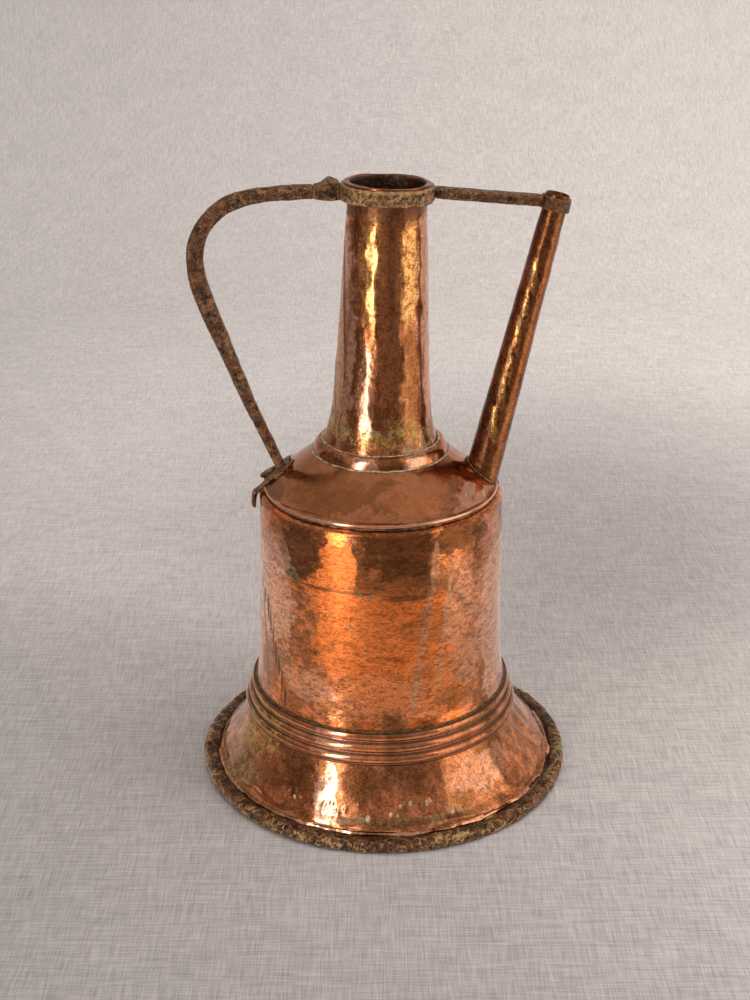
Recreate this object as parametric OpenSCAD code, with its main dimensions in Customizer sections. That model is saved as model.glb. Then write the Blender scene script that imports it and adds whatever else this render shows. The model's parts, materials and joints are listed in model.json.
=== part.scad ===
// Antique copper watering can: a drum on a belled foot, a tall leaning neck, a forged iron handle
// and a straight spout tied back to the mouth. Millimetres, +Z up.
// The origin is the centre of the base hoop's underside. The spout points along +X.

/* [Sheet] */
// Thickness of the copper sheet in the body
sheet = 1.4; // [1.1:0.1:1.7]
// How far a brazed seam stands proud of the sheet
seam_proud = 0.6; // [0.4:0.1:1]
// Width of a brazed seam
seam_w = 7; // [5:1:9]

/* [Base hoop] */
// Outer radius of the iron hoop that the can stands on
hoop_r = 142; // [139:1:145]
// Radial width of the hoop's bar
hoop_w = 11; // [10:0.5:12]
// Height of the hoop's bar
hoop_h = 9.5; // [8.5:0.5:11]
// Chamfer that forging leaves on the bars' corners
bar_chamfer = 2; // [1:0.5:2.5]
// Gap between the hoop and the foot of the skirt
foot_gap = 1.2; // [0.8:0.1:1.6]

/* [Skirt] */
// Distance that the drum's axis sits off the base hoop's axis, towards the handle
body_offset = 3.3; // [0:0.1:4]
// Height of the knee where the flare turns straight down
knee_z = 10.5; // [9:0.5:12]
// Height of the skirt's underside above the floor
skirt_z = 1.5; // [1:0.5:2.5]
// Width of the edge that is turned in under the base plate
turned_edge = 9; // [6:1:12]
// Height of the skirt's top edge
skirt_top_z = 50; // [48:0.5:52]
// Outer radius of the skirt at its top edge
skirt_top_r = 103.2; // [102:0.2:104]
// How far the flare bows inwards from a straight cone
skirt_bow = 4; // [0:0.5:6]

/* [Beads] */
// Height of the beaded band between skirt and drum
band_h = 22.7; // [21:0.1:25]
// Outer radius of the band's top edge
band_top_r = 96.8; // [96.4:0.1:98]
// Radius of each bead's half-round section
bead_r = 3.7; // [3:0.1:3.9]
// Number of beads
bead_count = 3; // [2:1:3]

/* [Drum] */
// Outer radius of the drum at its top
drum_r = 90; // [89:0.5:92]
// Height where the drum's wall starts to turn in
drum_top_z = 222.4; // [215:0.5:226]
// Widening of the drum per millimetre of height, going down
drum_taper = 0.016; // [0.01:0.001:0.02]
// Extra radius where the drum flares out at its foot
drum_flare = 4; // [3:0.1:4.2]
// Height over which that flare dies away
drum_flare_h = 18; // [12:1:22]
// Radius of the drum's rounded top corner
corner_r = 4.5; // [3.5:0.1:5.5]

/* [Shoulder] */
// Rise of the shoulder from its rim to the neck
shoulder_rise = 32.2; // [28:0.2:36]
// Radius of the shoulder's rim
shoulder_r = 85.8; // [85:0.1:86.2]
// How far the shoulder bulges above a straight cone
shoulder_bulge = 1.2; // [0:0.1:2]
// Height of the solder line under the shoulder's rim
rim_gap = 1.5; // [1:0.1:2]

/* [Neck] */
// Angle that the neck leans towards the spout
neck_lean = 1.4; // [0:0.1:2]
// Length of the neck from the collar to the underside of the lip
neck_h = 187.5; // [180:0.5:195]
// Radius that the neck's straight taper starts from
neck_base_r = 36.7; // [36:0.1:37.4]
// Narrowing of the neck per millimetre of height
neck_taper = 0.0515; // [0.048:0.0005:0.052]
// Extra radius where the neck flares out at its foot
neck_flare = 6.5; // [5:0.1:6.6]
// Height over which that flare dies away
neck_flare_h = 14; // [10:1:16]
// Radius of the mouth's bore
mouth_r = 25.9; // [25.5:0.1:26]
// Height of the mouth's cylindrical bore
mouth_h = 16; // [12:1:20]
// Outer radius of the lip that is turned over the iron hoop
lip_r = 30; // [29.4:0.1:30.6]
// Height of the mouth's iron hoop
mouth_hoop_h = 11; // [10:0.5:12]
// Outer radius of the mouth's iron hoop
mouth_hoop_r = 32; // [31.5:0.1:33]
// Width of the half-round collar at the neck's foot, measured out from the neck
collar_w = 7.4; // [6:0.1:8]
// Height of the collar against the neck
collar_h = 3.4; // [3:0.1:4]

/* [Spout] */
// Angle that the spout leans out
spout_lean = 12.8; // [11:0.1:14]
// Distance from the drum's axis to the spout's axis at the shoulder
spout_x = 75.6; // [74:0.1:76]
// Height of the point where that distance is taken
spout_z = 240; // [238.5:0.5:241]
// Length of the spout above that point
spout_h = 207.5; // [200:0.5:210]
// Outer radius of the spout at its foot
spout_foot_r = 12.5; // [11.5:0.1:13]
// Outer radius of the spout at its tip
spout_tip_r = 8.4; // [8.2:0.1:9]
// Thickness of the spout's wall at its foot
spout_wall = 1.3; // [1:0.1:1.5]
// Radius of the bore at the spout's tip
spout_bore_r = 7.2; // [6.8:0.1:7.4]
// Length of that bore
spout_bore_h = 14; // [10:1:18]
// Height of the iron ring round the spout's tip
ring_h = 9; // [7:0.5:11]
// Outer radius of that ring
ring_r = 10.4; // [10:0.1:11.5]
// Depth of the bar that ties the spout to the mouth
brace_d = 9; // [8:0.5:10]
// Height of that bar
brace_h = 7.5; // [6.5:0.5:8]
// Height of the solder line round the spout's foot
spout_solder_h = 1.8; // [1.2:0.1:2.4]

/* [Handle] */
// Depth of the handle's bar, front to back
handle_d = 9; // [8:0.5:10]
// Height that the forged knuckle beside the mouth rises above its bar's centre line
knuckle_rise = 8; // [7:0.1:9]
// Thickness of the fork that lies on the shoulder
fork_t = 3.4; // [3:0.1:4]
// Width of each of the fork's tails
tail_w = 5; // [4:0.5:6]
// Angle between each tail and the handle's plane
tail_angle = 6; // [5:0.5:8]

/* [Hidden] */
$fn = 96;

// Levels, from the floor up
plate_z = skirt_z + sheet;
band_top_z = skirt_top_z + band_h;
flange_z = drum_top_z + corner_r;
rim_z = flange_z + rim_gap + sheet;
collar_z = rim_z + shoulder_rise;

// Sides of the turned sheet solids and steps of their curved outlines
sides = 96;
steps = 12;

skirt_r = hoop_r - hoop_w - foot_gap;
// The shoulder's collar that drops into the drum, and the neck's that drops into the shoulder
spigot_room = 1.5;
spigot_r = drum_r - corner_r - spigot_room;
spigot_h = 7;
neck_spigot = 8;
flare_start = 2.5;
solder_h = 1.2;
// How far cutting bodies reach past the surfaces that they cut
reach = 30;
cut = 1;
past_rim = 8;
// How far the mouth's hoop stands out past its nominal radius
hoop_proud = 1;
// How far the spout's tip stands out of its ring
tip_proud = 2;

// The handle's centre line from knuckle to fork, as [x, y, z, width] from the drum's axis
handle_route = [
  [-36, 0, 444.4, 9.8], [-60, 0, 443.4, 9.4], [-88, -0.5, 440.6, 9.8], [-108, -1, 433.8, 10.5],
  [-123, -1.5, 419.5, 11], [-129.4, -2, 401, 11], [-127.6, -2.5, 381, 11.2], [-119.5, -3, 357, 11.4],
  [-106, -3.5, 322, 9.8], [-91.3, -4, 285, 7.7], [-75, -4, 248, 6], [-69.5, -4, 235.5, 5.4]
];
handle_steps = 4;

// Places of the brazed spots round the base hoop, and the angle that each covers
brazing_places = [-128, -92, -62, -38, 44, 98, 152];
brazing_angle = 11;

copper = "#b5673f";
dark_copper = "#8a4a2c";
iron = "#4a3529";
brass = "#b8944a";
solder = "#a3a084";

// Radius of the drum's outside at height z
function drum_radius(z) = drum_r + drum_taper * (drum_top_z - z)
  + drum_flare * exp(-(z - band_top_z) / drum_flare_h);

// Radius of the neck's outside at distance w up its leaning axis
function neck_radius(w) = neck_base_r - neck_taper * w + neck_flare * exp(-w / neck_flare_h);

neck_foot_r = neck_radius(flare_start);

// Height of the shoulder's outside at radius r
function shoulder_z(r) =
  let (u = (shoulder_r - r) / (shoulder_r - neck_foot_r))
  rim_z + shoulder_rise * u + 4 * shoulder_bulge * u * (1 - u);

// Radius of the spout's outside at distance s up its axis
function spout_radius(s) = spout_foot_r + (spout_tip_r - spout_foot_r) * s / spout_h;

// Point on the skirt's flare, from its top edge at t = 0 to the knee at t = 1
function flare_r(t) = skirt_top_r + (skirt_r - skirt_top_r) * t - 4 * skirt_bow * t * (1 - t) / 2;
function flare_z(t) = skirt_top_z + (knee_z - skirt_top_z) * t - 4 * skirt_bow * t * (1 - t) / 2;

// Share of the drum's offset that is left at height z on the skirt
function skirt_offset(z) = -body_offset * min(1, max(0, (z - knee_z) / (skirt_top_z - knee_z)));

// Point at t between b and c on a smooth curve through a, b, c and d
function curve_point(a, b, c, d, t) = 0.5 * (
  2 * b + (c - a) * t + (2 * a - 5 * b + 4 * c - d) * t * t + (3 * b - a - 3 * c + d) * t * t * t);

function route_point(i) = handle_route[max(0, min(len(handle_route) - 1, i))];

function corner_arc(cx, cy, r, from, to, n) =
  [for (i = [0:n]) let (a = from + (to - from) * i / n) [cx + r * cos(a), cy + r * sin(a)]];

// A rectangle with its corners cut off, centred on the origin
module forged_section(w, h, c) {
  polygon([
    [w / 2 - c, -h / 2], [w / 2, c - h / 2], [w / 2, h / 2 - c], [w / 2 - c, h / 2],
    [c - w / 2, h / 2], [-w / 2, h / 2 - c], [-w / 2, c - h / 2], [c - w / 2, -h / 2]
  ]);
}

// A closed outline of [radius, height] points turned round an axis that follows the skirt's offset,
// all the way round, or over count of its sides. Then the outline is a line and its way back, point
// for point, and both ends are capped between the two
module turned_sheet(outline, first = 0, count = sides) {
  n = len(outline);
  whole = count == sides;
  points = [
    for (i = [0:whole ? count - 1 : count]) let (a = 360 * (first + i) / sides) for (p = outline)
      [skirt_offset(p[1]) + p[0] * cos(a), p[0] * sin(a), p[1]]
  ];
  walls = [
    for (i = [0:count - 1]) for (j = [0:n - 1])
      let (a = i * n, b = (whole ? (i + 1) % sides : i + 1) * n, k = (j + 1) % n)
      each [[a + j, a + k, b + k], [a + j, b + k, b + j]]
  ];
  far = count * n;
  ends = whole ? [] : [
    for (j = [0:n / 2 - 2]) let (a = j, b = j + 1, c = n - 2 - j, d = n - 1 - j)
      each [[a, d, c], [a, c, b], [far + a, far + b, far + c], [far + a, far + c, far + d]]
  ];
  polyhedron(points, concat(walls, ends));
}

// A bar with a chamfered section swept along rings of [x, y, z, width] in the handle's plane
module swept_bar(rings, depth, c) {
  n = len(rings);
  function tangent(i) =
    let (a = rings[max(0, i - 1)], b = rings[min(n - 1, i + 1)], d = [b[0] - a[0], b[2] - a[2]])
    d / norm(d);
  function section(w) = [
    [w / 2, depth / 2 - c], [w / 2 - c, depth / 2], [c - w / 2, depth / 2], [-w / 2, depth / 2 - c],
    [-w / 2, c - depth / 2], [c - w / 2, -depth / 2], [w / 2 - c, -depth / 2], [w / 2, c - depth / 2]
  ];
  points = [
    for (i = [0:n - 1]) let (q = rings[i], t = tangent(i)) for (p = section(q[3]))
      [q[0] - p[0] * t[1], q[1] + p[1], q[2] + p[0] * t[0]]
  ];
  walls = [
    for (i = [0:n - 2]) for (j = [0:7]) let (a = i * 8, b = a + 8, k = (j + 1) % 8)
      each [[a + j, b + k, a + k], [a + j, b + j, b + k]]
  ];
  ends = [[for (j = [0:7]) j], [for (j = [7:-1:0]) (n - 1) * 8 + j]];
  polyhedron(points, concat(walls, ends));
}

module in_body() translate([-body_offset, 0, 0]) children();

module in_neck() in_body() translate([0, 0, collar_z]) rotate([0, neck_lean, 0]) children();

module in_spout() in_body() translate([spout_x, 0, spout_z]) rotate([0, spout_lean, 0]) children();

// Everything inside the outer surface of the drum's top, its rim and the shoulder
module vessel_mass() {
  low = drum_top_z - reach;
  top_r = drum_radius(drum_top_z);
  in_body() rotate_extrude() polygon(concat(
    [[0, low], [top_r, low]],
    corner_arc(top_r - corner_r, drum_top_z, corner_r, 0, 90, steps / 2),
    [[shoulder_r, flange_z], [shoulder_r, rim_z]],
    shoulder_line(shoulder_r, neck_foot_r, 0),
    [[0, collar_z]]
  ));
}

// Points on the shoulder's outside from one radius to another, lifted by a height
function shoulder_line(from, to, lift) =
  [for (i = [0:steps]) let (r = from + (to - from) * i / steps) [r, shoulder_z(r) + lift]];

// A layer over the shoulder between two heights above its surface
module shoulder_layer(low, high) {
  from = shoulder_r + past_rim;
  to = neck_foot_r - past_rim / 2;
  in_body() rotate_extrude() polygon(concat(shoulder_line(from, to, high), shoulder_line(to, from, low)));
}

// Everything under the shoulder's surface, carried on past its rim and in under the neck
module shoulder_mass() {
  from = shoulder_r + past_rim;
  to = neck_foot_r - past_rim / 2;
  in_body() rotate_extrude() polygon(concat(
    [[0, drum_top_z - reach], [from, drum_top_z - reach]],
    shoulder_line(from, to, 0),
    [[0, shoulder_z(to)]]
  ));
}

// Everything inside the outer surface of the neck's foot
module neck_mass() {
  in_neck() translate([0, 0, -reach]) cylinder(r = neck_foot_r, h = 2 * reach);
}

module spout_mass() {
  in_spout() translate([0, 0, -reach])
    cylinder(r1 = spout_radius(-reach), r2 = spout_tip_r, h = spout_h + reach);
}

module ring_mass() {
  in_spout() translate([0, 0, spout_h - ring_h - tip_proud]) cylinder(r = ring_r, h = ring_h);
}

module base_hoop() {
  color(iron) rotate_extrude() translate([hoop_r - hoop_w / 2, hoop_h / 2])
    forged_section(hoop_w, hoop_h, bar_chamfer);
}

module hoop_brazing() {
  inset = bar_chamfer + 0.5;
  for (a = brazing_places) color(brass) rotate([0, 0, a]) rotate_extrude(angle = brazing_angle)
    translate([skirt_r, inset]) square([foot_gap, hoop_h - 2 * inset]);
}

module base_plate() {
  color(dark_copper) translate([0, 0, plate_z]) cylinder(r = skirt_r - 2 * sheet, h = sheet);
}

module base_solder() {
  z = plate_z + sheet;
  r = skirt_r - sheet;
  leg = 3;
  color(solder) turned_sheet([[r - leg - sheet, z], [r - sheet, z], [r, z], [r, z + leg]]);
}

module foot_skirt() {
  outer = [for (i = [0:steps]) [flare_r(i / steps), flare_z(i / steps)]];
  inner = [for (i = [steps:-1:0]) outer[i] - [sheet, i > 0 ? sheet / 3 : 0]];
  edge = [
    [skirt_r, skirt_z], [skirt_r - turned_edge, skirt_z],
    [skirt_r - turned_edge, plate_z], [skirt_r - sheet, plate_z]
  ];
  color(copper) turned_sheet(concat(outer, edge, inner));
}

module skirt_seam() {
  first = 1;
  last = steps - 2;
  line = [for (i = [first:last]) [flare_r(i / steps), flare_z(i / steps)]];
  proud = [for (i = [last - first:-1:0]) line[i] + [seam_proud, seam_proud / 2]];
  color(brass) turned_sheet(concat(line, proud), sides / 4, 1);
}

module bead_band() {
  overlap = 1;
  bottom_r = skirt_top_r + overlap;
  // The top bead's middle lies this share of a pitch below the band's edge, and the last one's runs out
  // at the band's foot
  first = 0.42;
  foot_share = 0.13;
  pitch = band_h / (bead_count - foot_share);
  slope = (bottom_r - band_top_r) / band_h;
  wall = 3.6;
  bead_proud = 1.7;
  trim = 0.05;
  color(copper) in_body() rotate_extrude() union() {
    polygon([
      [bottom_r, skirt_top_z], [band_top_r, band_top_z],
      [band_top_r - wall, band_top_z], [bottom_r - wall, skirt_top_z]
    ]);
    intersection() {
      translate([0, skirt_top_z + trim]) square([2 * bottom_r, band_h - 2 * trim]);
      for (i = [0:bead_count - 1]) {
        z = band_top_z - pitch * (i + first);
        translate([band_top_r + slope * (band_top_z - z) - bead_r + bead_proud, z]) circle(r = bead_r);
      }
    }
  }
}

// Points on the drum's outside from one height up to another
function drum_line(from, to) =
  [for (i = [0:steps]) let (z = from + (to - from) * i / steps) [drum_radius(z), z]];

module drum_wall() {
  corner_x = drum_radius(drum_top_z) - corner_r;
  arc_steps = 5;
  first = 90 / (arc_steps + 1);
  outside = drum_line(band_top_z, drum_top_z);
  inside = [for (i = [steps:-1:0]) outside[i] - [sheet, 0]];
  color(copper) in_body() rotate_extrude() polygon(concat(
    outside,
    corner_arc(corner_x, drum_top_z, corner_r, first, 90, arc_steps),
    [[spigot_r, flange_z], [spigot_r, flange_z - sheet]],
    corner_arc(corner_x, drum_top_z, corner_r - sheet, 90, first, arc_steps),
    inside
  ));
}

module drum_seam() {
  line = drum_line(band_top_z + solder_h + cut, drum_top_z);
  proud = [for (i = [steps:-1:0]) line[i] + [seam_proud, 0]];
  angle = 2 * asin(seam_w / (2 * drum_r));
  color(brass) in_body() rotate([0, 0, 90 - angle / 2]) rotate_extrude(angle = angle)
    polygon(concat(line, proud));
}

module drum_solder() {
  top_z = band_top_z + solder_h;
  leg = 0.6;
  color(solder) in_body() rotate_extrude() polygon([
    [drum_radius(band_top_z), band_top_z], [band_top_r + leg, band_top_z], [drum_radius(top_z), top_z]
  ]);
}

module rim_solder() {
  color(solder) in_body() rotate_extrude() translate([spigot_r, flange_z])
    square([shoulder_r - spigot_r, rim_gap]);
}

module shoulder() {
  line = shoulder_line(shoulder_r, neck_foot_r - past_rim / 2, 0);
  thick = sheet / cos(atan(shoulder_rise / (shoulder_r - neck_foot_r)));
  inset = 0.5;
  ledge = 3.5;
  spigot_z = flange_z - spigot_h;
  under_z = rim_z - sheet;
  color(copper) difference() {
    in_body() rotate_extrude() polygon(concat(
      [[spigot_r - sheet, spigot_z], [spigot_r, spigot_z], [spigot_r, under_z], [shoulder_r, under_z]],
      line,
      [for (i = [steps:-1:1]) line[i] - [inset, thick]],
      [[spigot_r - sheet, under_z]]
    ));
    neck_mass();
    in_spout() translate([0, 0, -reach]) cylinder(r = spout_foot_r - ledge, h = 2 * reach);
  }
}

module neck_collar() {
  sunk = 0.6;
  flat = 1;
  under = 3;
  arc_steps = 8;
  base = shoulder_z(neck_foot_r + collar_w) - sunk;
  rise = collar_z + collar_h - base;
  color(dark_copper) difference() {
    in_body() rotate_extrude() polygon(concat(
      [for (i = [0:arc_steps]) let (a = 90 * i / arc_steps)
        [neck_foot_r + flat + (collar_w - flat) * cos(a), base + rise * sin(a)]],
      [[neck_foot_r - under, base + rise], [neck_foot_r - under, base]]
    ));
    shoulder_mass();
    neck_mass();
  }
}

module collar_solder() {
  r = neck_foot_r + collar_w;
  toe_r = r + 1.5;
  toe_h = 0.1;
  low_z = shoulder_z(toe_r) - cut;
  color(solder) difference() {
    in_body() rotate_extrude() polygon([
      [r, low_z], [toe_r, low_z], [toe_r, shoulder_z(toe_r) + toe_h], [r, shoulder_z(r) + solder_h]
    ]);
    shoulder_mass();
  }
}

module neck_solder() {
  thick = 0.8;
  color(solder) difference() {
    in_body() translate([0, 0, collar_z + collar_h]) cylinder(r = neck_foot_r + solder_h, h = thick);
    in_neck() neck_outline_solid();
  }
}

// The neck's outer shape as one solid, with no bore
module neck_outline_solid() {
  rotate_extrude() polygon(concat(
    [[0, -neck_spigot], [neck_foot_r, -neck_spigot]],
    neck_outline(),
    [[0, neck_h]]
  ));
}

// Points on the neck's outside, closer together where it flares
function neck_outline() =
  let (n = 2 * steps, crowding = 1.6)
  [for (i = [0:n]) let (w = flare_start + (neck_h - flare_start) * pow(i / n, crowding))
    [neck_radius(w), w]];

module neck_tube() {
  outline = neck_outline();
  last = len(outline) - 1;
  top = neck_h + sheet;
  bore_end = top - mouth_h;
  inside = [for (i = [last:-1:0]) if (outline[i][1] < bore_end - cut)
    [max(mouth_r, outline[i][0] - sheet), outline[i][1]]];
  color(copper) in_neck() rotate_extrude() polygon(concat(
    [[neck_foot_r - sheet, -neck_spigot], [neck_foot_r, -neck_spigot]],
    outline,
    [[lip_r, neck_h], [lip_r, top], [mouth_r, top], [mouth_r, bore_end]],
    inside
  ));
}

module neck_seam() {
  angle = 2 * asin(seam_w / (2 * neck_base_r));
  low = 6;
  line = [for (p = neck_outline()) if (p[1] > low && p[1] < neck_h - mouth_hoop_h) p];
  last = len(line) - 1;
  color(brass) in_neck() rotate([0, 0, 90 - angle / 2]) rotate_extrude(angle = angle)
    polygon(concat(line, [for (i = [last:-1:0]) [line[i][0] + seam_proud, line[i][1]]]));
}

module mouth_hoop() {
  inner_r = neck_radius(neck_h) - hoop_proud;
  outer_r = mouth_hoop_r + hoop_proud;
  color(iron) difference() {
    in_neck() translate([0, 0, neck_h - mouth_hoop_h / 2]) rotate_extrude()
      translate([(inner_r + outer_r) / 2, 0])
      forged_section(outer_r - inner_r, mouth_hoop_h, bar_chamfer / 2);
    in_neck() neck_outline_solid();
  }
}

// The knuckle's humped outline in the handle's plane, from the bar's end into the mouth's hoop, as
// points of [along, up] from the first point of the handle's route
module knuckle_mass() {
  wider = 2;
  depth = handle_d + wider;
  foot = 5.6;
  top = knuckle_rise;
  in_body() translate([handle_route[0][0], 0, handle_route[0][2]]) rotate([90, 0, 0])
    linear_extrude(depth, center = true) polygon([
      [-11, -4.6], [0, -foot], [12, -foot], [12, 4], [8, 6], [5, top - 0.4],
      [0, top], [-3, top - 1.2], [-7, 5.4], [-11, 4.8]
    ]);
}

module handle_knuckle() {
  color(iron) difference() {
    knuckle_mass();
    mouth_hoop_mass();
  }
}

// The room that the mouth's hoop, with its chamfers, takes from the pieces that meet it
module mouth_hoop_mass() {
  above = 3;
  in_neck() translate([0, 0, neck_h - mouth_hoop_h])
    cylinder(r = mouth_hoop_r + hoop_proud, h = mouth_hoop_h + above);
}

module handle_bar() {
  last = len(handle_route) - 1;
  rings = concat(
    [for (i = [0:last - 1]) for (k = [0:handle_steps - 1])
      curve_point(
        route_point(i - 1), route_point(i), route_point(i + 1), route_point(i + 2), k / handle_steps
      )],
    [handle_route[last]]
  );
  color(iron) difference() {
    in_body() swept_bar(rings, handle_d, bar_chamfer);
    knuckle_mass();
    fork_mass();
    brazing_mass();
    vessel_mass();
  }
}

// One tail of the fork: an outline in the plane of radius and height, made as wide as the tail
module tail(outline) {
  rotate([90, 0, 0]) linear_extrude(tail_w, center = true) polygon(outline);
}

// The fork's tails and the pad between them, before the shoulder is cut away from under them
module fork_mass() {
  pad_r = 67;
  mid_r = 78;
  hook_r = drum_r + 2.6;
  hook_z = drum_top_z - 8;
  hook_t = 2.8;
  step_r = mid_r - 3;
  pad_w = 2 * tail_w + 2;
  on_top = function (r) [r, shoulder_z(r) + fork_t];
  under = [pad_r, rim_z];
  in_body() rotate([0, 0, 180]) {
    rotate([0, 0, tail_angle]) tail([
      under, on_top(pad_r), on_top(mid_r), on_top(shoulder_r),
      [hook_r + hook_t - 1, drum_top_z + 4], [hook_r + hook_t, drum_top_z - 2],
      [hook_r + hook_t, hook_z], [hook_r, hook_z - 0.6], [hook_r - 0.4, drum_top_z - 2],
      [hook_r - 2, drum_top_z + 2.6], [shoulder_r, flange_z]
    ]);
    rotate([0, 0, -tail_angle]) tail([
      under, on_top(pad_r), on_top(mid_r), [shoulder_r + 4, rim_z + fork_t - 1],
      [shoulder_r + 4, rim_z + 0.6], [shoulder_r - 1, rim_z - 1]
    ]);
    rotate([90, 0, 0]) linear_extrude(pad_w, center = true)
      polygon([under, on_top(pad_r), on_top(step_r), [mid_r, shoulder_z(mid_r)], [step_r, rim_z]]);
  }
}

module brazing_mass() {
  patch_r = 10.5;
  centre_r = 75;
  skin = 0.9;
  intersection() {
    in_body() translate([-centre_r, 0, 0]) cylinder(r = patch_r, h = collar_z);
    shoulder_layer(-cut, skin);
  }
}

module handle_fork() {
  color(iron) difference() {
    fork_mass();
    brazing_mass();
    vessel_mass();
  }
}

module handle_brazing() {
  color(brass) difference() {
    brazing_mass();
    shoulder_mass();
  }
}

module spout_tube() {
  taper_h = spout_h + reach + cut - spout_bore_h;
  color(copper) difference() {
    spout_mass();
    in_spout() translate([0, 0, -reach - cut])
      cylinder(r1 = spout_radius(-reach) - spout_wall, r2 = spout_bore_r, h = taper_h);
    in_spout() translate([0, 0, spout_h - spout_bore_h])
      cylinder(r = spout_bore_r, h = spout_bore_h + cut);
    shoulder_mass();
  }
}

module spout_solder() {
  proud = 1.7;
  color(solder) difference() {
    intersection() {
      in_spout() translate([0, 0, -reach]) cylinder(r = spout_foot_r + proud, h = 2 * reach);
      shoulder_layer(-cut, spout_solder_h);
    }
    spout_mass();
    shoulder_mass();
  }
}

module spout_seam() {
  narrowing = 0.6;
  angle = 2 * asin(narrowing * seam_w / (2 * spout_foot_r));
  low = 22;
  high = spout_h - ring_h - 2 * tip_proud;
  color(brass) in_spout() rotate([0, 0, 90 - angle / 2]) rotate_extrude(angle = angle) polygon([
    [spout_radius(low), low], [spout_radius(low) + seam_proud, low],
    [spout_radius(high) + seam_proud, high], [spout_radius(high), high]
  ]);
}

module spout_ring() {
  color(iron) difference() {
    ring_mass();
    spout_mass();
  }
}

module spout_brace() {
  ring_s = spout_h - tip_proud - ring_h / 2;
  into_ring = 2.4;
  from = [mouth_hoop_r - 2, collar_z + neck_h - mouth_hoop_h / 2];
  to = [
    spout_x + ring_s * sin(spout_lean) - ring_r + into_ring,
    spout_z + ring_s * cos(spout_lean) + (ring_r - into_ring) * sin(spout_lean)
  ];
  run = to - from;
  color(iron) difference() {
    in_body() translate([from[0], 0, from[1]]) rotate([0, 90 - atan(run[1] / run[0]), 0])
      linear_extrude(norm(run)) forged_section(brace_h, brace_d, bar_chamfer / 2);
    mouth_hoop_mass();
    ring_mass();
    spout_mass();
  }
}

base_hoop();
hoop_brazing();
base_plate();
base_solder();
foot_skirt();
skirt_seam();
bead_band();
drum_solder();
drum_wall();
drum_seam();
rim_solder();
shoulder();
collar_solder();
neck_collar();
neck_solder();
neck_tube();
neck_seam();
mouth_hoop();
handle_bar();
handle_knuckle();
handle_fork();
handle_brazing();
spout_tube();
spout_solder();
spout_seam();
spout_ring();
spout_brace();
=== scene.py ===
"""Looks of the antique copper watering can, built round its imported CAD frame. Sizes are in millimetres."""

import json
import math

import bpy
import numpy as np
from mathutils import Matrix, Vector


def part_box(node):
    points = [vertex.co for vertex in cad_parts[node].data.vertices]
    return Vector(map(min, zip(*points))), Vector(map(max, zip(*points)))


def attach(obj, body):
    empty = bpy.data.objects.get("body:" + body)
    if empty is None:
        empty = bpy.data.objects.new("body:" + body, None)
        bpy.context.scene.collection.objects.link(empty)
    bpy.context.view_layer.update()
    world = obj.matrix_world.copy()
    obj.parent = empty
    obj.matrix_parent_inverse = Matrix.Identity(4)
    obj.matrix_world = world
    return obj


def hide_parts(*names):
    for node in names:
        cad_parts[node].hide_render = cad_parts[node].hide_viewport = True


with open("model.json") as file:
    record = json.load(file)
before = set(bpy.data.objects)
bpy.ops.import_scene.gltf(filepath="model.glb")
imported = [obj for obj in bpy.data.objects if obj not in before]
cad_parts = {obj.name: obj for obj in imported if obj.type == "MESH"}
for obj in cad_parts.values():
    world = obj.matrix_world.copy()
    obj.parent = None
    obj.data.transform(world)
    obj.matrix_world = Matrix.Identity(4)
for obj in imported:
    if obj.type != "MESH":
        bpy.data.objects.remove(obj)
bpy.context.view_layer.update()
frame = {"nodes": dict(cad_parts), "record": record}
MM = 0.001
SHEET = 1.4

# Levels and axes, read from the frame


def level(node, top=True):
    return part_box(node)[1 if top else 0].z / MM


def mount_axis(name):
    mount = next(m for m in frame["record"]["mounts"] if m["name"] == name)
    return Vector(mount["pos_m"]) / MM, Vector(mount["axis"])


drum_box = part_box("drum_wall")
AXIS_X = (drum_box[0].x + drum_box[1].x) / 2 / MM
SKIRT_Z = level("foot_skirt", False)
SKIRT_TOP = level("foot_skirt")
SKIRT_R = (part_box("foot_skirt")[1].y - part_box("foot_skirt")[0].y) / 2 / MM
KNEE_Z = SKIRT_Z + 9
BAND_TOP = level("bead_band")
FLANGE_Z = level("drum_wall")
RIM_Z = level("rim_solder") + SHEET
SHOULDER_RISE = 32.2
COLLAR_Z = RIM_Z + SHOULDER_RISE
CORNER_R = 4.5
DRUM_TOP = FLANGE_Z - CORNER_R
SHOULDER_R = 85.8
NECK_H = 187.5
MOUTH_R = 25.9
SPOUT_Z = 240
SPOUT_TOP = 207.5
SPOUT_BORE_R = 7.2


def leaning(node_mount, height):
    """The matrix that puts +Z on a mount's axis, with its origin where that axis crosses a height."""
    point, axis = mount_axis(node_mount)
    foot = point + axis * ((height - point.z) / axis.z)
    lean = math.atan2(axis.x, axis.z)
    return Matrix.Translation(foot) @ Matrix.Rotation(lean, 4, "Y")


UPRIGHT = Matrix.Translation((AXIS_X, 0, 0))
NECK = leaning("mouth", COLLAR_Z)
SPOUT = leaning("spout_tip", SPOUT_Z)


def around(radius, azimuth, z):
    """A point at an azimuth round the drum's axis. 0 faces the front, and 90 the spout."""
    a = math.radians(azimuth)
    return (AXIS_X + radius * math.sin(a), -radius * math.cos(a), z)


# Relief: smooth noise and hammer blows, all repeatable


def chance(cell, seed):
    """A repeatable number from 0 to 1 for each row of whole numbers."""
    h = cell[:, 0] * 73856093 ^ cell[:, 1] * 19349663 ^ cell[:, 2] * 83492791 ^ (seed * 2654435 + 97)
    h = (h ^ (h >> 13)) * 1274126177 & 0x7FFFFFFF
    h = (h ^ (h >> 15)) * 668265263 & 0x7FFFFFFF
    return (h & 0xFFFFF) / 0xFFFFF


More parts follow.
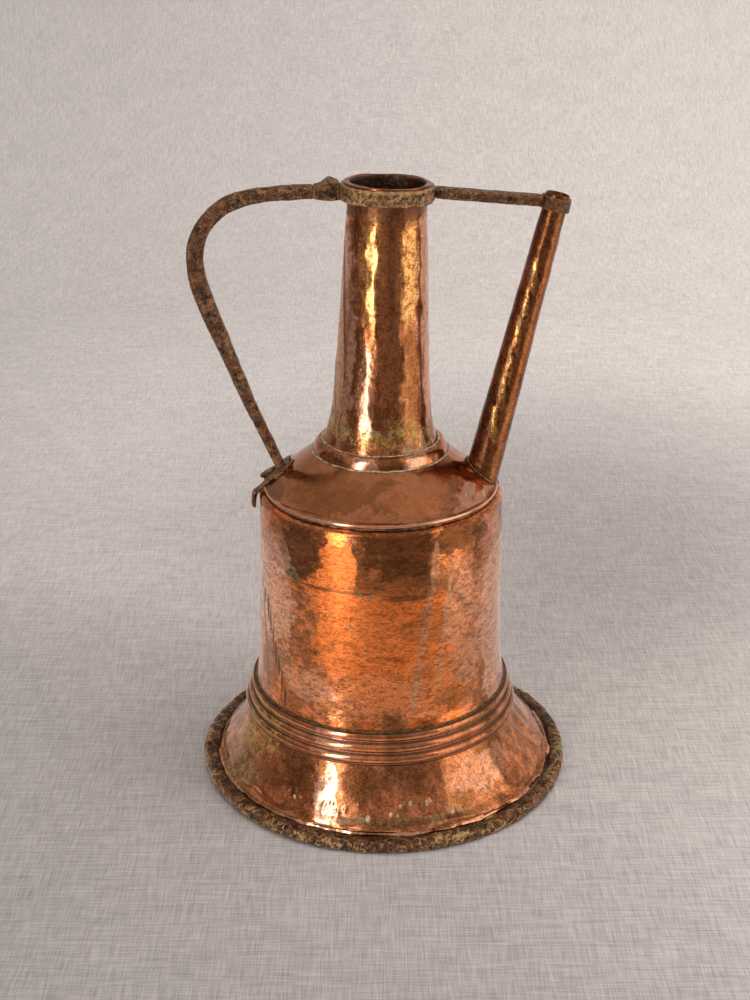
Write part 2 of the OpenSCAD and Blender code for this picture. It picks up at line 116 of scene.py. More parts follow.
def noise(points, size, seed=0, octaves=1):
    """Smooth noise, mostly within -1 to 1, with features about size millimetres across."""
    total = 0
    for k in range(octaves):
        q = points * (2**k / size) + 13.7 * (seed + k + 1)
        cell = np.floor(q).astype(np.int64)
        f = q - cell
        f = f * f * f * (f * (6 * f - 15) + 10)
        value = 0
        for corner in np.ndindex(2, 2, 2):
            c = np.array(corner)
            value = value + np.prod(np.where(c == 1, f, 1 - f), axis=1) * chance(cell + c, seed + k)
        total = total + (2 * value - 1) / 2**k
    return total


def blows(u, v, du, dv, seed, around_u, jitter=0.36, hardness=16):
    """Overlapping hammer blows du by dv across: 0 in the middle of a blow, up to about 0.3 between blows."""
    n = max(3, round(around_u / du))
    x0, y0 = u * n / around_u, v / dv
    total = 0
    for i in (-1, 0, 1):
        for j in (-1, 0, 1):
            col, row = np.floor(x0) + i, np.floor(y0) + j
            key = np.stack([np.mod(col, n), row, row * 0], 1).astype(np.int64)
            x = x0 - col - 0.5 - jitter * (2 * chance(key, seed) - 1)
            y = y0 - row - 0.5 - jitter * (2 * chance(key, seed + 1) - 1)
            total = total + np.exp(-hardness * (x * x + y * y + 0.12 * chance(key, seed + 2)))
    return -np.log(total) / hardness


def bell(x, centre, width):
    return np.exp(-(((x - centre) / width) ** 2))


def turn(angle, centre):
    """Difference of two azimuths in degrees, from -180 to 180."""
    return (angle - centre + 180) % 360 - 180


# Meshes


def piece(name, points, quads, nodes, materials, inner=None):
    """A closed mesh piece from points in millimetres and quads, which stands for CAD nodes."""
    mesh = bpy.data.meshes.new(name)
    mesh.vertices.add(len(points))
    mesh.vertices.foreach_set("co", (np.asarray(points) * MM).astype(np.float32).ravel())
    mesh.loops.add(quads.size)
    mesh.loops.foreach_set("vertex_index", quads.astype(np.int32).ravel())
    mesh.polygons.add(len(quads))
    mesh.polygons.foreach_set("loop_start", np.arange(0, quads.size, 4, dtype=np.int32))
    for material in materials:
        mesh.materials.append(material)
    if inner is not None:
        mesh.polygons.foreach_set("material_index", inner.astype(np.int32))
    mesh.update(calc_edges=True)
    mesh.shade_smooth()
    obj = bpy.data.objects.new(name, mesh)
    bpy.context.scene.collection.objects.link(obj)
    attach(obj, "root")
    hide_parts(*nodes)


def placed(points, matrix):
    m = np.array(matrix)
    return points @ m[:3, :3].T + m[:3, 3]


def turned(r, a, z):
    """Points at radii, angles and heights round an axis."""
    return np.stack([r * np.sin(a), -r * np.cos(a), z], -1)


def tube_quads(count, m):
    """The quads of a closed tube of count columns by m rows, and the row where each one starts."""
    i, j = np.meshgrid(np.arange(count), np.arange(m), indexing="ij")
    k, n = (i + 1) % count, (j + 1) % m
    return np.stack([i * m + j, k * m + j, k * m + n, i * m + n], 2).reshape(-1, 4), j.ravel()


def outline_normals(outline):
    ahead, behind = np.roll(outline, -1, 0), np.roll(outline, 1, 0)
    t = ahead - behind
    t /= np.linalg.norm(t, axis=1)[:, None] + 1e-9
    return np.stack([t[:, 1], -t[:, 0]], 1)


def lathe(name, outer, inner, count, matrix, relief, nodes, materials, shift=None):
    """A closed sheet turned round an axis, from two outlines of [radius, height] that both go up.
    relief(azimuth, height, radius, points) says how far the sheet is pushed out of shape."""
    outline = np.array(list(outer) + list(inner)[::-1], float)
    normals = outline_normals(outline)
    normals[len(outer) :] *= -1
    a = np.arange(count)[:, None] * 2 * math.pi / count
    r = np.tile(outline[:, 0], (count, 1))
    z = np.tile(outline[:, 1], (count, 1))
    az = np.degrees(a) + r * 0
    flat = turned(r, a, z).reshape(-1, 3)
    push = relief(az.ravel(), z.ravel(), r.ravel(), flat).reshape(count, -1)
    r, z = r + normals[:, 0] * push, z + normals[:, 1] * push
    points = turned(r, a, z).reshape(-1, 3)
    if shift:
        points[:, 0] += shift(points[:, 2])
    quads, row = tube_quads(count, len(outline))
    inside = (row >= len(outer)) & (len(materials) > 1)
    piece(name, placed(points, matrix), quads, nodes, materials, inside)


def slab(name, top, bottom, nodes, materials):
    """A closed piece between two grids of points, the way a seam or a patch lies on a sheet."""
    n, m = top.shape[:2]
    grid = np.arange(n * m).reshape(n, m)
    a, b, c, d = grid[:-1, :-1], grid[1:, :-1], grid[1:, 1:], grid[:-1, 1:]
    upper = np.stack([a, b, c, d], 2).reshape(-1, 4)
    lower = upper[:, ::-1] + n * m
    edge = np.concatenate([grid[:-1, 0], grid[-1, :-1], grid[:0:-1, -1], grid[0, :0:-1]])
    after = np.roll(edge, -1)
    sides = np.stack([after, edge, edge + n * m, after + n * m], 1)
    points = np.concatenate([top.reshape(-1, 3), bottom.reshape(-1, 3)])
    piece(name, points, np.concatenate([upper, lower, sides]), nodes, materials)


def seam(name, line, matrix, relief, width, proud, nodes, materials, shift=None):
    """A brazed seam at the back that lies along a turned sheet's line of [radius, height] points."""
    line = np.array(line, float)
    across = np.linspace(-1, 1, 9)
    rise = proud * (1 - across**4)
    grids = []
    for lift in (rise, across * 0 - 0.5):
        r = line[:, 0][:, None] + across * 0
        z = line[:, 1][:, None] + across * 0
        az = 180 + np.degrees(across * width / 2 / r)
        a = np.radians(az)
        flat = turned(r, a, z).reshape(-1, 3)
        push = relief(az.ravel(), z.ravel(), r.ravel(), flat).reshape(r.shape)
        ragged = 0.25 * noise(flat, 6, 51).reshape(r.shape) * (lift > 0)
        r = r + push + lift + ragged * proud
        points = turned(r, a, z)
        if shift:
            points[:, :, 0] += shift(z)
        grids.append(placed(points.reshape(-1, 3), matrix).reshape(points.shape))
    slab(name, grids[0], grids[1], nodes, materials)


def forged(name, node, voxel, rounds, relief, materials, grow=0):
    """A CAD node's solid with its edges worn round and its surface worked: a closed mesh of even facets."""
    source = frame["nodes"][node]
    copy = bpy.data.objects.new(name + "_blank", source.data.copy())
    bpy.context.scene.collection.objects.link(copy)
    remesh = copy.modifiers.new("even", "REMESH")
    remesh.mode = "VOXEL"
    remesh.voxel_size = voxel * MM
    smooth = copy.modifiers.new("worn", "SMOOTH")
    smooth.factor = 0.5
    smooth.iterations = rounds
    bpy.context.view_layer.update()
    shaped = copy.evaluated_get(bpy.context.evaluated_depsgraph_get()).to_mesh()
    count = len(shaped.vertices)
    co, no = np.zeros(count * 3, np.float32), np.zeros(count * 3, np.float32)
    shaped.vertices.foreach_get("co", co)
    shaped.vertices.foreach_get("normal", no)
    quads = np.zeros(len(shaped.loops), np.int32)
    shaped.loops.foreach_get("vertex_index", quads)
    co, no = co.reshape(-1, 3).astype(float) / MM, no.reshape(-1, 3).astype(float)
    bpy.data.objects.remove(copy)
    points = co + no * (relief(co) + grow)[:, None]
    piece(name, points, quads.reshape(-1, 4), [node], materials)


# Materials


class Finish:
    """A material built from nodes, with its noise in millimetres of the object's own space."""

    def __init__(self, name):
        self.material = bpy.data.materials.new(name)
        self.material.use_nodes = True
        self.tree = self.material.node_tree
        self.tree.nodes.clear()
        self.shader = self.node("BsdfPrincipled")
        out = self.node("OutputMaterial")
        self.tree.links.new(self.shader.outputs[0], out.inputs["Surface"])
        coords = self.node("TexCoord").outputs["Object"]
        self.place = self.vector("SCALE", coords, scale=1 / MM)
        self.seed = 0
        self.wander = None

    def node(self, kind, **settings):
        made = self.tree.nodes.new("ShaderNode" + kind)
        for key, value in settings.items():
            setattr(made, key, value)
        return made

    def put(self, socket, value):
        if isinstance(value, bpy.types.NodeSocket):
            self.tree.links.new(value, socket)
        elif isinstance(value, tuple) and len(value) == 3 and socket.type == "RGBA":
            socket.default_value = (*value, 1)
        else:
            socket.default_value = value

    def set(self, name, value):
        self.put(self.shader.inputs[name], value)

    def vector(self, operation, a, b=None, scale=None):
        n = self.node("VectorMath", operation=operation)
        self.put(n.inputs[0], a)
        if b is not None:
            self.put(n.inputs[1], b)
        if scale is not None:
            self.put(n.inputs["Scale"], scale)
        return n.outputs["Value" if operation == "LENGTH" else "Vector"]

    def math(self, operation, a, b=0.0):
        n = self.node("Math", operation=operation)
        self.put(n.inputs[0], a)
        self.put(n.inputs[1], b)
        return n.outputs[0]

    def times(self, a, b):
        return self.math("MULTIPLY", a, b)

    def noise(self, size, detail=2.0, rough=0.5, warp=0.0, stretch=None, colour=False):
        self.seed += 1
        n = self.node("TexNoise")
        at = self.vector("MULTIPLY", self.place, stretch) if stretch else self.place
        at = self.vector("ADD", at, (37.0 * self.seed, 11.0 * self.seed, 5.0 * self.seed))
        self.put(n.inputs["Vector"], at)
        self.put(n.inputs["Scale"], 1 / size)
        self.put(n.inputs["Detail"], detail)
        self.put(n.inputs["Roughness"], rough)
        self.put(n.inputs["Distortion"], warp)
        return n.outputs["Color" if colour else 0]

    def total(self, *parts):
        """The sum of some values, each given as its weight and itself."""
        whole = None
        for weight, value in parts:
            part = value if weight == 1 else self.times(value, weight)
            whole = part if whole is None else self.math("ADD", whole, part)
        return whole

    def cells(self, size, feature="F1"):
        self.seed += 1
        n = self.node("TexVoronoi", feature=feature)
        shake = self.vector("SCALE", self.noise(size * 1.3, colour=True), scale=size * 0.7)
        at = self.vector("ADD", self.vector("ADD", self.place, shake), (29.0 * self.seed, 3.0, 7.0))
        self.put(n.inputs["Vector"], at)
        self.put(n.inputs["Scale"], 1 / size)
        return n.outputs["Distance"]

    def smooth(self, value, low, high, to_low=0.0, to_high=1.0):
        n = self.node("MapRange", interpolation_type="SMOOTHSTEP")
        self.put(n.inputs["Value"], value)
        for key, v in (("From Min", low), ("From Max", high), ("To Min", to_low), ("To Max", to_high)):
            self.put(n.inputs[key], v)
        return n.outputs[0]

    def ramp(self, value, *stops):
        n = self.node("ValToRGB")
        self.put(n.inputs[0], value)
        ends = n.color_ramp.elements
        while len(ends) < len(stops):
            ends.new(0.5)
        for end, (at, colour) in zip(ends, stops):
            end.position = at
            end.color = (*colour, 1)
        return n.outputs[0]

    def mix(self, factor, a, b, mode="MIX"):
        n = self.node("Mix", data_type="RGBA", blend_type=mode)
        self.put(n.inputs["Factor"], factor)
        self.put(n.inputs[6], a)
        self.put(n.inputs[7], b)
        return n.outputs[2]

    def blend(self, factor, a, b):
        n = self.node("Mix", data_type="FLOAT")
        self.put(n.inputs[0], factor)
        self.put(n.inputs[2], a)
        self.put(n.inputs[3], b)
        return n.outputs[0]

    def away(self, centre, radii):
        """Distance from an ellipsoid's centre: 1 on its surface."""
        offset = self.vector("SUBTRACT", self.place, tuple(centre))
        return self.vector("LENGTH", self.vector("DIVIDE", offset, tuple(radii)))

    def patch(self, centre, radii):
        """1 inside an ellipsoid whose border is ragged, 0 outside it. A thin ellipsoid is more ragged."""
        distance = self.away(centre, radii)
        if self.wander is None:
            self.wander = self.math("SUBTRACT", self.noise(13.0, 8, 0.68, 0.5), 0.5)
        ragged = 1.75 * min(1, 22 / min(radii))
        return self.smooth(self.total((1, distance), (ragged, self.wander)), 1.07, 0.93)

    def line(self, value, width):
        """1 along a thin wandering contour of a noise."""
        off = self.math("ABSOLUTE", self.math("SUBTRACT", value, 0.5))
        return self.smooth(off, width, width * 0.4)

    def bump(self, height, distance, before=None):
        n = self.node("Bump")
        self.put(n.inputs["Height"], height)
        self.put(n.inputs["Distance"], distance * MM)
        if before is not None:
            self.put(n.inputs["Normal"], before)
        return n.outputs[0]


# Tones: colour, roughness and metal
TONES = {
    "orange": ((0.98, 0.25, 0.058), 0.4, 1.0),
    "pink": ((0.95, 0.5, 0.33), 0.16, 1.0),
    "gold": ((0.96, 0.5, 0.17), 0.17, 1.0),
    "amber": ((0.98, 0.36, 0.085), 0.3, 1.0),
    "copper": ((0.86, 0.3, 0.125), 0.18, 1.0),
    "russet": ((0.56, 0.22, 0.1), 0.18, 1.0),
    "tan": ((0.6, 0.33, 0.2), 0.3, 0.9),
    "brown": ((0.36, 0.13, 0.048), 0.22, 1.0),
    "dark": ((0.17, 0.06, 0.021), 0.28, 0.95),
    "black": ((0.035, 0.02, 0.012), 0.5, 0.6),
    "green": ((0.25, 0.22, 0.12), 0.5, 0.4),
    "yellow": ((0.55, 0.37, 0.1), 0.4, 0.7),
    "pale": ((0.7, 0.56, 0.42), 0.36, 0.7),
}
RUST, BRASS, SOOT = (0.17, 0.062, 0.024), (0.85, 0.54, 0.23), (0.014, 0.009, 0.006)
# Tones that only lie in crumbs, with the range of noise over which each crumb's edge fades
CRUMBLED = {"yellow": (0.47, 0.54), "green": (0.47, 0.54), "gold": (0.42, 0.5)}


def mottle(f, colour, grit, grain, lie):
    """The colour made lighter and darker in fine grains."""
    fine = f.total((0.55, grit), (0.45, f.noise(4.5, 6, 0.7, stretch=lie)))
    shade = f.ramp(fine, (0.4, (0.4, 0.36, 0.34)), (0.51, (1.0, 1.0, 1.0)), (0.62, (1.3, 1.36, 1.42)))
    return f.mix(0.9 * grain, colour, shade, "MULTIPLY")


def crack_lines(f, cracks):
    """1 along crescent cracks, long scratches and patches of crackle."""
    along = f.smooth(f.line(f.noise(7, 5, 0.65, 0.4, stretch=(0.45, 0.45, 1.5)), 0.01), 0, 1, 0.0, cracks)
    along = f.times(along, f.smooth(f.noise(20, 3, 0.6), 0.46, 0.56))
    scratch = f.line(f.noise(16, 3, 0.6), 0.0035)
    scratch = f.times(scratch, f.smooth(f.noise(18, 2), 0.5, 0.6))
    crackle = f.smooth(f.cells(5.5, "DISTANCE_TO_EDGE"), 0.055, 0.015)
    crackle = f.times(crackle, f.smooth(f.noise(7, 4, 0.7), 0.5, 0.56))
    crackle = f.times(crackle, cracks)
    return f.math("MAXIMUM", f.math("MAXIMUM", along, scratch), crackle)


def copper(
    name, tones, marks=(), tarnish=0.5, speckle=0.5, dimple=1.0, gloss=0.0, streaks=0.0, pits=0.3, cracks=0.0,
    grain=1.0, lie=None
):
    """Old polished copper: three tones that drift into each other, with tarnish, marks, speckle and pits."""
    f = Finish(name)
    drift = f.noise(48, 4, 0.6, 0.6)
    patchy = f.noise(9, 6, 0.68, 0.6, stretch=lie)
    grit = f.noise(1.5, 5, 0.72, stretch=lie)
    low, middle, high = (TONES[tone][0] for tone in tones)
    colour = f.ramp(f.total((0.62, drift), (0.38, patchy)), (0.41, low), (0.5, middle), (0.58, high))
    crumbs = f.noise(5, 8, 0.78, 0.4)
    rough = f.smooth(patchy, 0.3, 0.7, 0.1 - gloss, 0.22 - gloss)
    metal = 1.0
    stain = f.total((1, f.noise(22, 8, 0.72, 0.5)), (0.25, patchy))
    stain = f.smooth(stain, 0.72 - 0.2 * tarnish, 0.77 - 0.2 * tarnish)
    colour = f.mix(f.times(stain, 0.75), colour, TONES["brown"][0])
    rough = f.blend(stain, rough, TONES["brown"][1] - gloss)
    if streaks:
        smear = f.smooth(f.noise(4, 7, 0.72, 0.3, stretch=(1, 1, 0.07)), 0.5, 0.57, 0.0, streaks)
        colour = f.mix(smear, colour, TONES["dark"][0])
    for tone, centre, radii, strength in marks:
        here = f.times(f.patch(centre, radii), strength)
        if tone in CRUMBLED:
            here = f.times(here, f.smooth(crumbs, *CRUMBLED[tone]))
        over, its_rough, its_metal = TONES[tone]
        colour = f.mix(here, colour, over)
        rough = f.blend(here, rough, its_rough)
        if its_metal < 1:
            metal = f.blend(here, metal, its_metal)
    colour = mottle(f, colour, grit, grain, lie)
    specks = f.smooth(f.noise(2.6, 6, 0.75, 0.4, stretch=lie), 0.56, 0.62, 0.0, speckle)
    colour = f.mix(specks, colour, TONES["brown"][0])
    flecks = f.smooth(f.noise(0.9, 3, 0.7), 0.6, 0.68, 0.0, speckle)
    colour = f.mix(flecks, colour, TONES["dark"][0])
    spots = f.smooth(f.total((1, f.cells(8)), (0.5, f.noise(3, 4, 0.7))), 0.4, 0.34, 0.0, 0.7)
    spots = f.times(spots, f.smooth(f.noise(50, 3), 0.5, 0.56))
    colour = f.mix(spots, colour, TONES["green"][0])
    if cracks:
        colour = f.mix(f.times(crack_lines(f, cracks), 0.8), colour, TONES["dark"][0])
    f.set("Base Color", colour)
    f.set("Roughness", f.total((1, rough), (0.14, specks), (0.2, spots)))
    f.set("Metallic", metal)
    soft = f.bump(f.noise(6.0, 3, 0.55), 0.15 * dimple)
    soft = f.bump(f.noise(2.2, 4, 0.65), 0.045 * dimple, soft)
    hole = f.smooth(f.total((1, f.cells(3.6)), (0.9, f.noise(7, 3))), 0.42, 0.5)
    soft = f.bump(hole, 0.1 * pits, soft)
    f.set("Normal", f.bump(grit, 0.02 * grain, soft))
    return f.material


def iron(name, light, mid, dark, gold=0.0, rust=0.5, crust=1.0, fine=1.0, marks=()):
    """Forged iron with old brown scale, with painted light on its proud edges and painted shade in its
    hollows, and brass that ran over it.
    """
    f = Finish(name)
    lumps = f.noise(6 * fine, 7, 0.7, 0.6)
    grit = f.noise(1.6 * fine, 5, 0.75)
    # Painted light and shade: worn is higher on proud edges and lower in hollows, so the colour lightens and
    # darkens with them.
    worn = f.smooth(f.node("NewGeometry").outputs["Pointiness"], 0.46, 0.56)
    tone = f.total((0.55, lumps), (0.3, grit), (0.15, worn))
    colour = f.ramp(tone, (0.42, dark), (0.5, mid), (0.59, light))
    rusty = f.smooth(f.noise(14, 6, 0.7), 0.48, 0.56, 0.0, rust)
    colour = f.mix(rusty, colour, RUST)
    bits = f.smooth(f.noise(3.2, 6, 0.78, 0.8), 0.54, 0.575)
    curls = f.line(f.noise(7.5, 2, 0.5, 0.9), 0.045)
    curls = f.times(curls, f.smooth(f.noise(15, 3), 0.48, 0.54))
    bits = f.times(f.math("MAXIMUM", bits, curls), gold)
    colour = f.mix(bits, colour, BRASS)
    pit = f.smooth(f.total((1, f.cells(3.2)), (0.6, f.noise(5, 3))), 0.36, 0.48)
    colour = f.mix(f.smooth(pit, 1.0, 0.0, 0.0, 0.9), colour, SOOT)
    for tint, centre, radii, strength in marks:
        colour = f.mix(f.times(f.patch(centre, radii), strength), colour, TONES[tint][0])
    f.set("Base Color", colour)
    f.set("Metallic", 0.7)
    f.set("Roughness", f.smooth(grit, 0.3, 0.7, 0.22, 0.46))
    height = f.bump(lumps, 1.8 * crust)
    height = f.bump(pit, 0.5 * crust, height)
    height = f.bump(bits, 0.35 * crust, height)
    f.set("Normal", f.bump(grit, 0.4 * crust, height))
    return f.material


def metal_line(name, tone, other, rough=0.42):
    """Solder or brass that was wiped into a joint."""
    f = Finish(name)
    colour = f.mix(f.smooth(f.noise(6, 5, 0.7), 0.42, 0.58), tone, other)
    colour = f.mix(f.smooth(f.noise(2.2, 4, 0.7), 0.58, 0.68, 0.0, 0.8), colour, (0.06, 0.04, 0.02))
    f.set("Base Color", colour)
    f.set("Metallic", 0.75)
    f.set("Roughness", f.smooth(f.noise(3, 3), 0.3, 0.7, rough - 0.12, rough + 0.15))
    f.set("Normal", f.bump(f.noise(1.7, 4, 0.65), 0.25))
    return f.material


# The copper sheets' outlines


def drum_radius(z):
    return 90 + 0.016 * (DRUM_TOP - z) + 4 * np.exp(-(z - BAND_TOP) / 18)


def neck_radius(w):
    return 36.7 - 0.0515 * w + 6.5 * np.exp(-w / 14)


NECK_FOOT_R = neck_radius(2.5)


def shoulder_height(r):
    u = (SHOULDER_R - r) / (SHOULDER_R - NECK_FOOT_R)
    return RIM_Z + SHOULDER_RISE * u + 4.8 * u * (1 - u)


def spout_radius(s):
    return 12.5 - 4.1 * s / SPOUT_TOP


def steps(a, b, size):
    return np.linspace(a, b, max(2, int(abs(b - a) / size) + 1))


# Neck
def neck_relief(az, w, r, points):
    u = np.radians(az) * 36
    body = np.clip((w - 3) / 12, 0, 1) * np.clip((NECK_H - 11 - w) / 8, 0, 1)
    out = 0.62 * (blows(u, w, 10.5, 20, 3, 2 * math.pi * 36, 0.38, 14) - 0.12)
    out = out + 0.22 * (blows(u, w, 5.5, 8, 4, 2 * math.pi * 36, 0.38, 14) - 0.12)
    out = out + 0.42 * noise(points, 46, 5) + 0.2 * noise(points, 17, 6) + 0.07 * noise(points, 6, 7)
    lip = np.clip((w - NECK_H + 2) / 2, 0, 1)
    return out * body + (0.12 + 0.5 * lip) * noise(points, 14, 8) * (1 - body)


neck_rows = steps(2.5, NECK_H, 1.5)
neck_outer = [[NECK_FOOT_R, -6]] + [[neck_radius(w), w] for w in neck_rows]
neck_outer += [[29.6, NECK_H - 0.1], [30.3, NECK_H + 0.25], [30.5, NECK_H + 0.75], [30.2, NECK_H + 1.2]]
neck_outer += [[29.5, NECK_H + SHEET]]
neck_inner = [[NECK_FOOT_R - SHEET, -6]]
neck_inner += [[max(MOUTH_R, neck_radius(w) - SHEET), w] for w in steps(2.5, NECK_H - 16, 6)]
neck_inner += [[MOUTH_R, NECK_H - 5], [MOUTH_R, NECK_H - 1], [26.1, NECK_H + 0.6], [27.0, NECK_H + 1.2]]


# Drum
def drum_relief(az, z, r, points):
    u = np.radians(az) * 92
    body = np.clip((z - BAND_TOP - 1) / 6, 0, 1) * np.clip((DRUM_TOP + 2 - z) / 8, 0, 1)
    out = 0.36 * (blows(u, z, 9.5, 8.5, 21, 2 * math.pi * 92) - 0.12)
    out = out + 0.13 * (blows(u, z, 4.6, 4.2, 30, 2 * math.pi * 92) - 0.12)
    out = out + 0.7 * noise(points, 62, 22) + 0.24 * noise(points, 24, 23) + 0.05 * noise(points, 7, 24)
    level_points = points * (1, 1, 0)
    high = bell(z, 131 + 2.2 * noise(level_points, 30, 25), 1.5) * np.clip(0.35 + noise(points, 19, 26), 0, 1)
    low = bell(z, 118 + 1.5 * noise(level_points, 25, 27), 1.3) * np.clip(noise(points, 14, 28), 0, 1)
    return (out - 0.55 * (high + 0.6 * low)) * body + 0.1 * noise(points, 20, 29) * (1 - body)


def arc(cx, cz, radius, start, end, n):
    """Points of [radius, height] on a circle, from one angle in radians to another."""
    return [[cx + radius * math.cos(a), cz + radius * math.sin(a)] for a in np.linspace(start, end, n)]


corner_x = drum_radius(DRUM_TOP) - CORNER_R
corner_start = math.radians(12)
FLANGE_R = 84.1
drum_outer = [[drum_radius(z), z] for z in steps(BAND_TOP, DRUM_TOP, 1.5)]
drum_outer += arc(corner_x, DRUM_TOP, CORNER_R, corner_start, math.pi / 2, 8)
drum_outer += [[FLANGE_R, FLANGE_Z]]
drum_inner = [[drum_radius(z) - SHEET, z] for z in steps(BAND_TOP, DRUM_TOP, 7)]
drum_inner += arc(corner_x, DRUM_TOP, CORNER_R - SHEET, corner_start, math.pi / 2, 4)
drum_inner += [[FLANGE_R, FLANGE_Z - SHEET]]


# Shoulder
def shoulder_relief(az, z, r, points):
    body = np.clip((SHOULDER_R - r) / 5, 0, 1) * np.clip((r - NECK_FOOT_R - 6) / 6, 0, 1)
    out = 0.85 * noise(points, 52, 41) + 0.2 * noise(points, 19, 42) + 0.04 * noise(points, 6, 43)
    dents = (
        -1.5 * bell(turn(az, 56), 0, 9) * bell(r, 72, 7)
        - 0.9 * bell(turn(az, 70), 0, 5) * bell(r, 64, 6)
        + 1.0 * bell(turn(az, 64), 0, 4) * bell(r, 78, 5)
    )
    fold = np.sin(r * 0.55 + turn(az, 60) * 0.24 + 1.5 * noise(points, 12, 45))
    dents = dents + 0.75 * fold * bell(turn(az, 61), 0, 13) * bell(r, 75, 8)
    return (out + dents) * body + 0.16 * noise(points, 24, 44) * (1 - body)


shoulder_outer = [[84.4, RIM_Z - SHEET], [SHOULDER_R - 0.2, RIM_Z - SHEET + 0.1]]
shoulder_outer += arc(SHOULDER_R - 0.6, RIM_Z + 0.3, 1.5, -0.9, 1.7, 9)
for r in steps(SHOULDER_R - 2.2, NECK_FOOT_R, 1.4):
    shoulder_outer.append([r, shoulder_height(r) + 0.5 * bell(r, SHOULDER_R - 2, 1.5)])
shoulder_inner = [[84.0, RIM_Z - SHEET - 0.3]]
for r in steps(SHOULDER_R - 3, NECK_FOOT_R + 1.0, 6):
    shoulder_inner.append([r - 1.0, shoulder_height(r) - 1.75])

# Skirt
BOW = 4.0
chooser = np.random.default_rng(7)
DRIPS = [(chooser.uniform(-34, 46), chooser.uniform(17, 26), chooser.uniform(1.1, 2.2)) for _ in range(16)]
SKIRT_TOP_R = 103.2


def flare(t):
    bow = 2 * BOW * t * (1 - t)
    return [SKIRT_TOP_R + (SKIRT_R - SKIRT_TOP_R) * t - bow, SKIRT_TOP + (KNEE_Z - SKIRT_TOP) * t - bow]


def skirt_shift(z):
    return AXIS_X * np.clip((z - KNEE_Z) / (SKIRT_TOP - KNEE_Z), 0, 1)


def skirt_relief(az, z, r, points):
    body = np.clip((SKIRT_TOP - z) / 6, 0, 1)
    out = 0.9 * noise(points, 60, 61) + 0.32 * noise(points, 22, 62) + 0.06 * noise(points, 7, 63)
    u = np.radians(az) * 120
    out = out + 0.55 * (blows(u, z, 17, 15, 64, 2 * math.pi * 120) - 0.12)
    level_points = points * (1, 1, 0)
    wander = 1.5 * noise(level_points, 24, 65) + 0.7 * noise(level_points, 9, 66)
    roll = bell(z, SKIRT_Z + 6.5 + wander, 2.3) - 0.75 * bell(z, SKIRT_Z + 11.0 + wander, 2.0)
    out = out + 1.45 * roll * (0.8 + 0.8 * noise(level_points, 13, 68))
    out = out - 2.4 * np.clip(noise(level_points, 11, 69, 2) - 0.15, 0, 1) * bell(z, SKIRT_Z + 3.5, 4.5)
    for where, height, size in DRIPS:
        spot = bell(turn(az, where) * 2.1, 0, size * 0.6) * bell(z, height, size)
        out = out + 0.5 * spot
    fold = np.sin((z * 0.55 + np.radians(turn(az, 82)) * 95) * 0.42 + 1.2 * noise(points, 18, 67))
    out = out + 0.95 * fold * bell(turn(az, 80), 0, 17) * bell(z, 34, 15)
    fold = np.sin((z * 0.8 - np.radians(turn(az, -75)) * 90) * 0.3)
    out = out + 0.4 * fold * bell(turn(az, -72), 0, 14) * bell(z, 30, 13)
    return out * body


knee = [[SKIRT_R + 0.4 - 0.9 * abs(t) ** 3, SKIRT_Z + 5 + 4 * t] for t in np.linspace(-1, 0.9, 11)]
flare_rows = [flare(t) for t in np.linspace(1, 0, 42)]
skirt_outer = [[SKIRT_R - 9, SKIRT_Z], [SKIRT_R - 2, SKIRT_Z + 0.1]] + knee + flare_rows
skirt_inner = [[SKIRT_R - 9, SKIRT_Z + SHEET], [SKIRT_R - 2.6, SKIRT_Z + SHEET]]
skirt_inner += [[SKIRT_R - SHEET, KNEE_Z - 4]]
skirt_inner += [[r - SHEET, z - 0.5] for r, z in [flare(t) for t in np.linspace(0.96, 0.0, 9)]]


# Beads
BAND_PITCH = (BAND_TOP - SKIRT_TOP) / 2.87


def band_relief(az, z, r, points):
    return 0.3 * noise(points, 34, 81) + 0.12 * noise(points, 11, 82) + 0.05 * noise(points, 4, 83)


def band_outline():
    """The band's three half-round beads with flat grooves between them."""
    bottom, top, base_r, top_r = SKIRT_TOP, BAND_TOP, SKIRT_TOP_R + 1, 96.8
    radius = 3.7
    rows = []
    for z in steps(bottom, top, 0.5):
        face = top_r + (base_r - top_r) * (top - z) / (top - bottom)
        out = face
        for i in range(3):
            mid = top - BAND_PITCH * (i + 0.42)
            reach = radius * radius - (z - mid) ** 2
            if reach > 0:
                centre = top_r + (base_r - top_r) * (top - mid) / (top - bottom) - radius + 1.9
                out = max(out, centre + math.sqrt(reach))
        rows.append([out, z])
    return rows


# Finishes. A mark is a tone, its centre, the radii of its ellipsoid, and how strongly it covers

TURN = 92


def marks_at(*rows):
    """Marks from rows of tone, radius, azimuth, z, radii and strength."""
    return [(tone, around(r, az, z), radii, strength) for tone, r, az, z, radii, strength in rows]


def streak(tone, start, end, width, strength, count=4):
    """Marks in a row down the drum, between two places of [azimuth, z]."""
    (a0, z0), (a1, z1) = start, end
    half = 0.9 * abs(z0 - z1) / (count - 1)
    places = [around(TURN, a0 + (a1 - a0) * t, z0 + (z1 - z0) * t) for t in np.linspace(0, 1, count)]
    return [(tone, place, (width, 12, half), strength) for place in places]


def rings(tone, heights, thick, strength):
    """Marks that run all the way round at some heights."""
    return [(tone, (AXIS_X, 0, z), (900, 900, thick), strength) for z in heights]


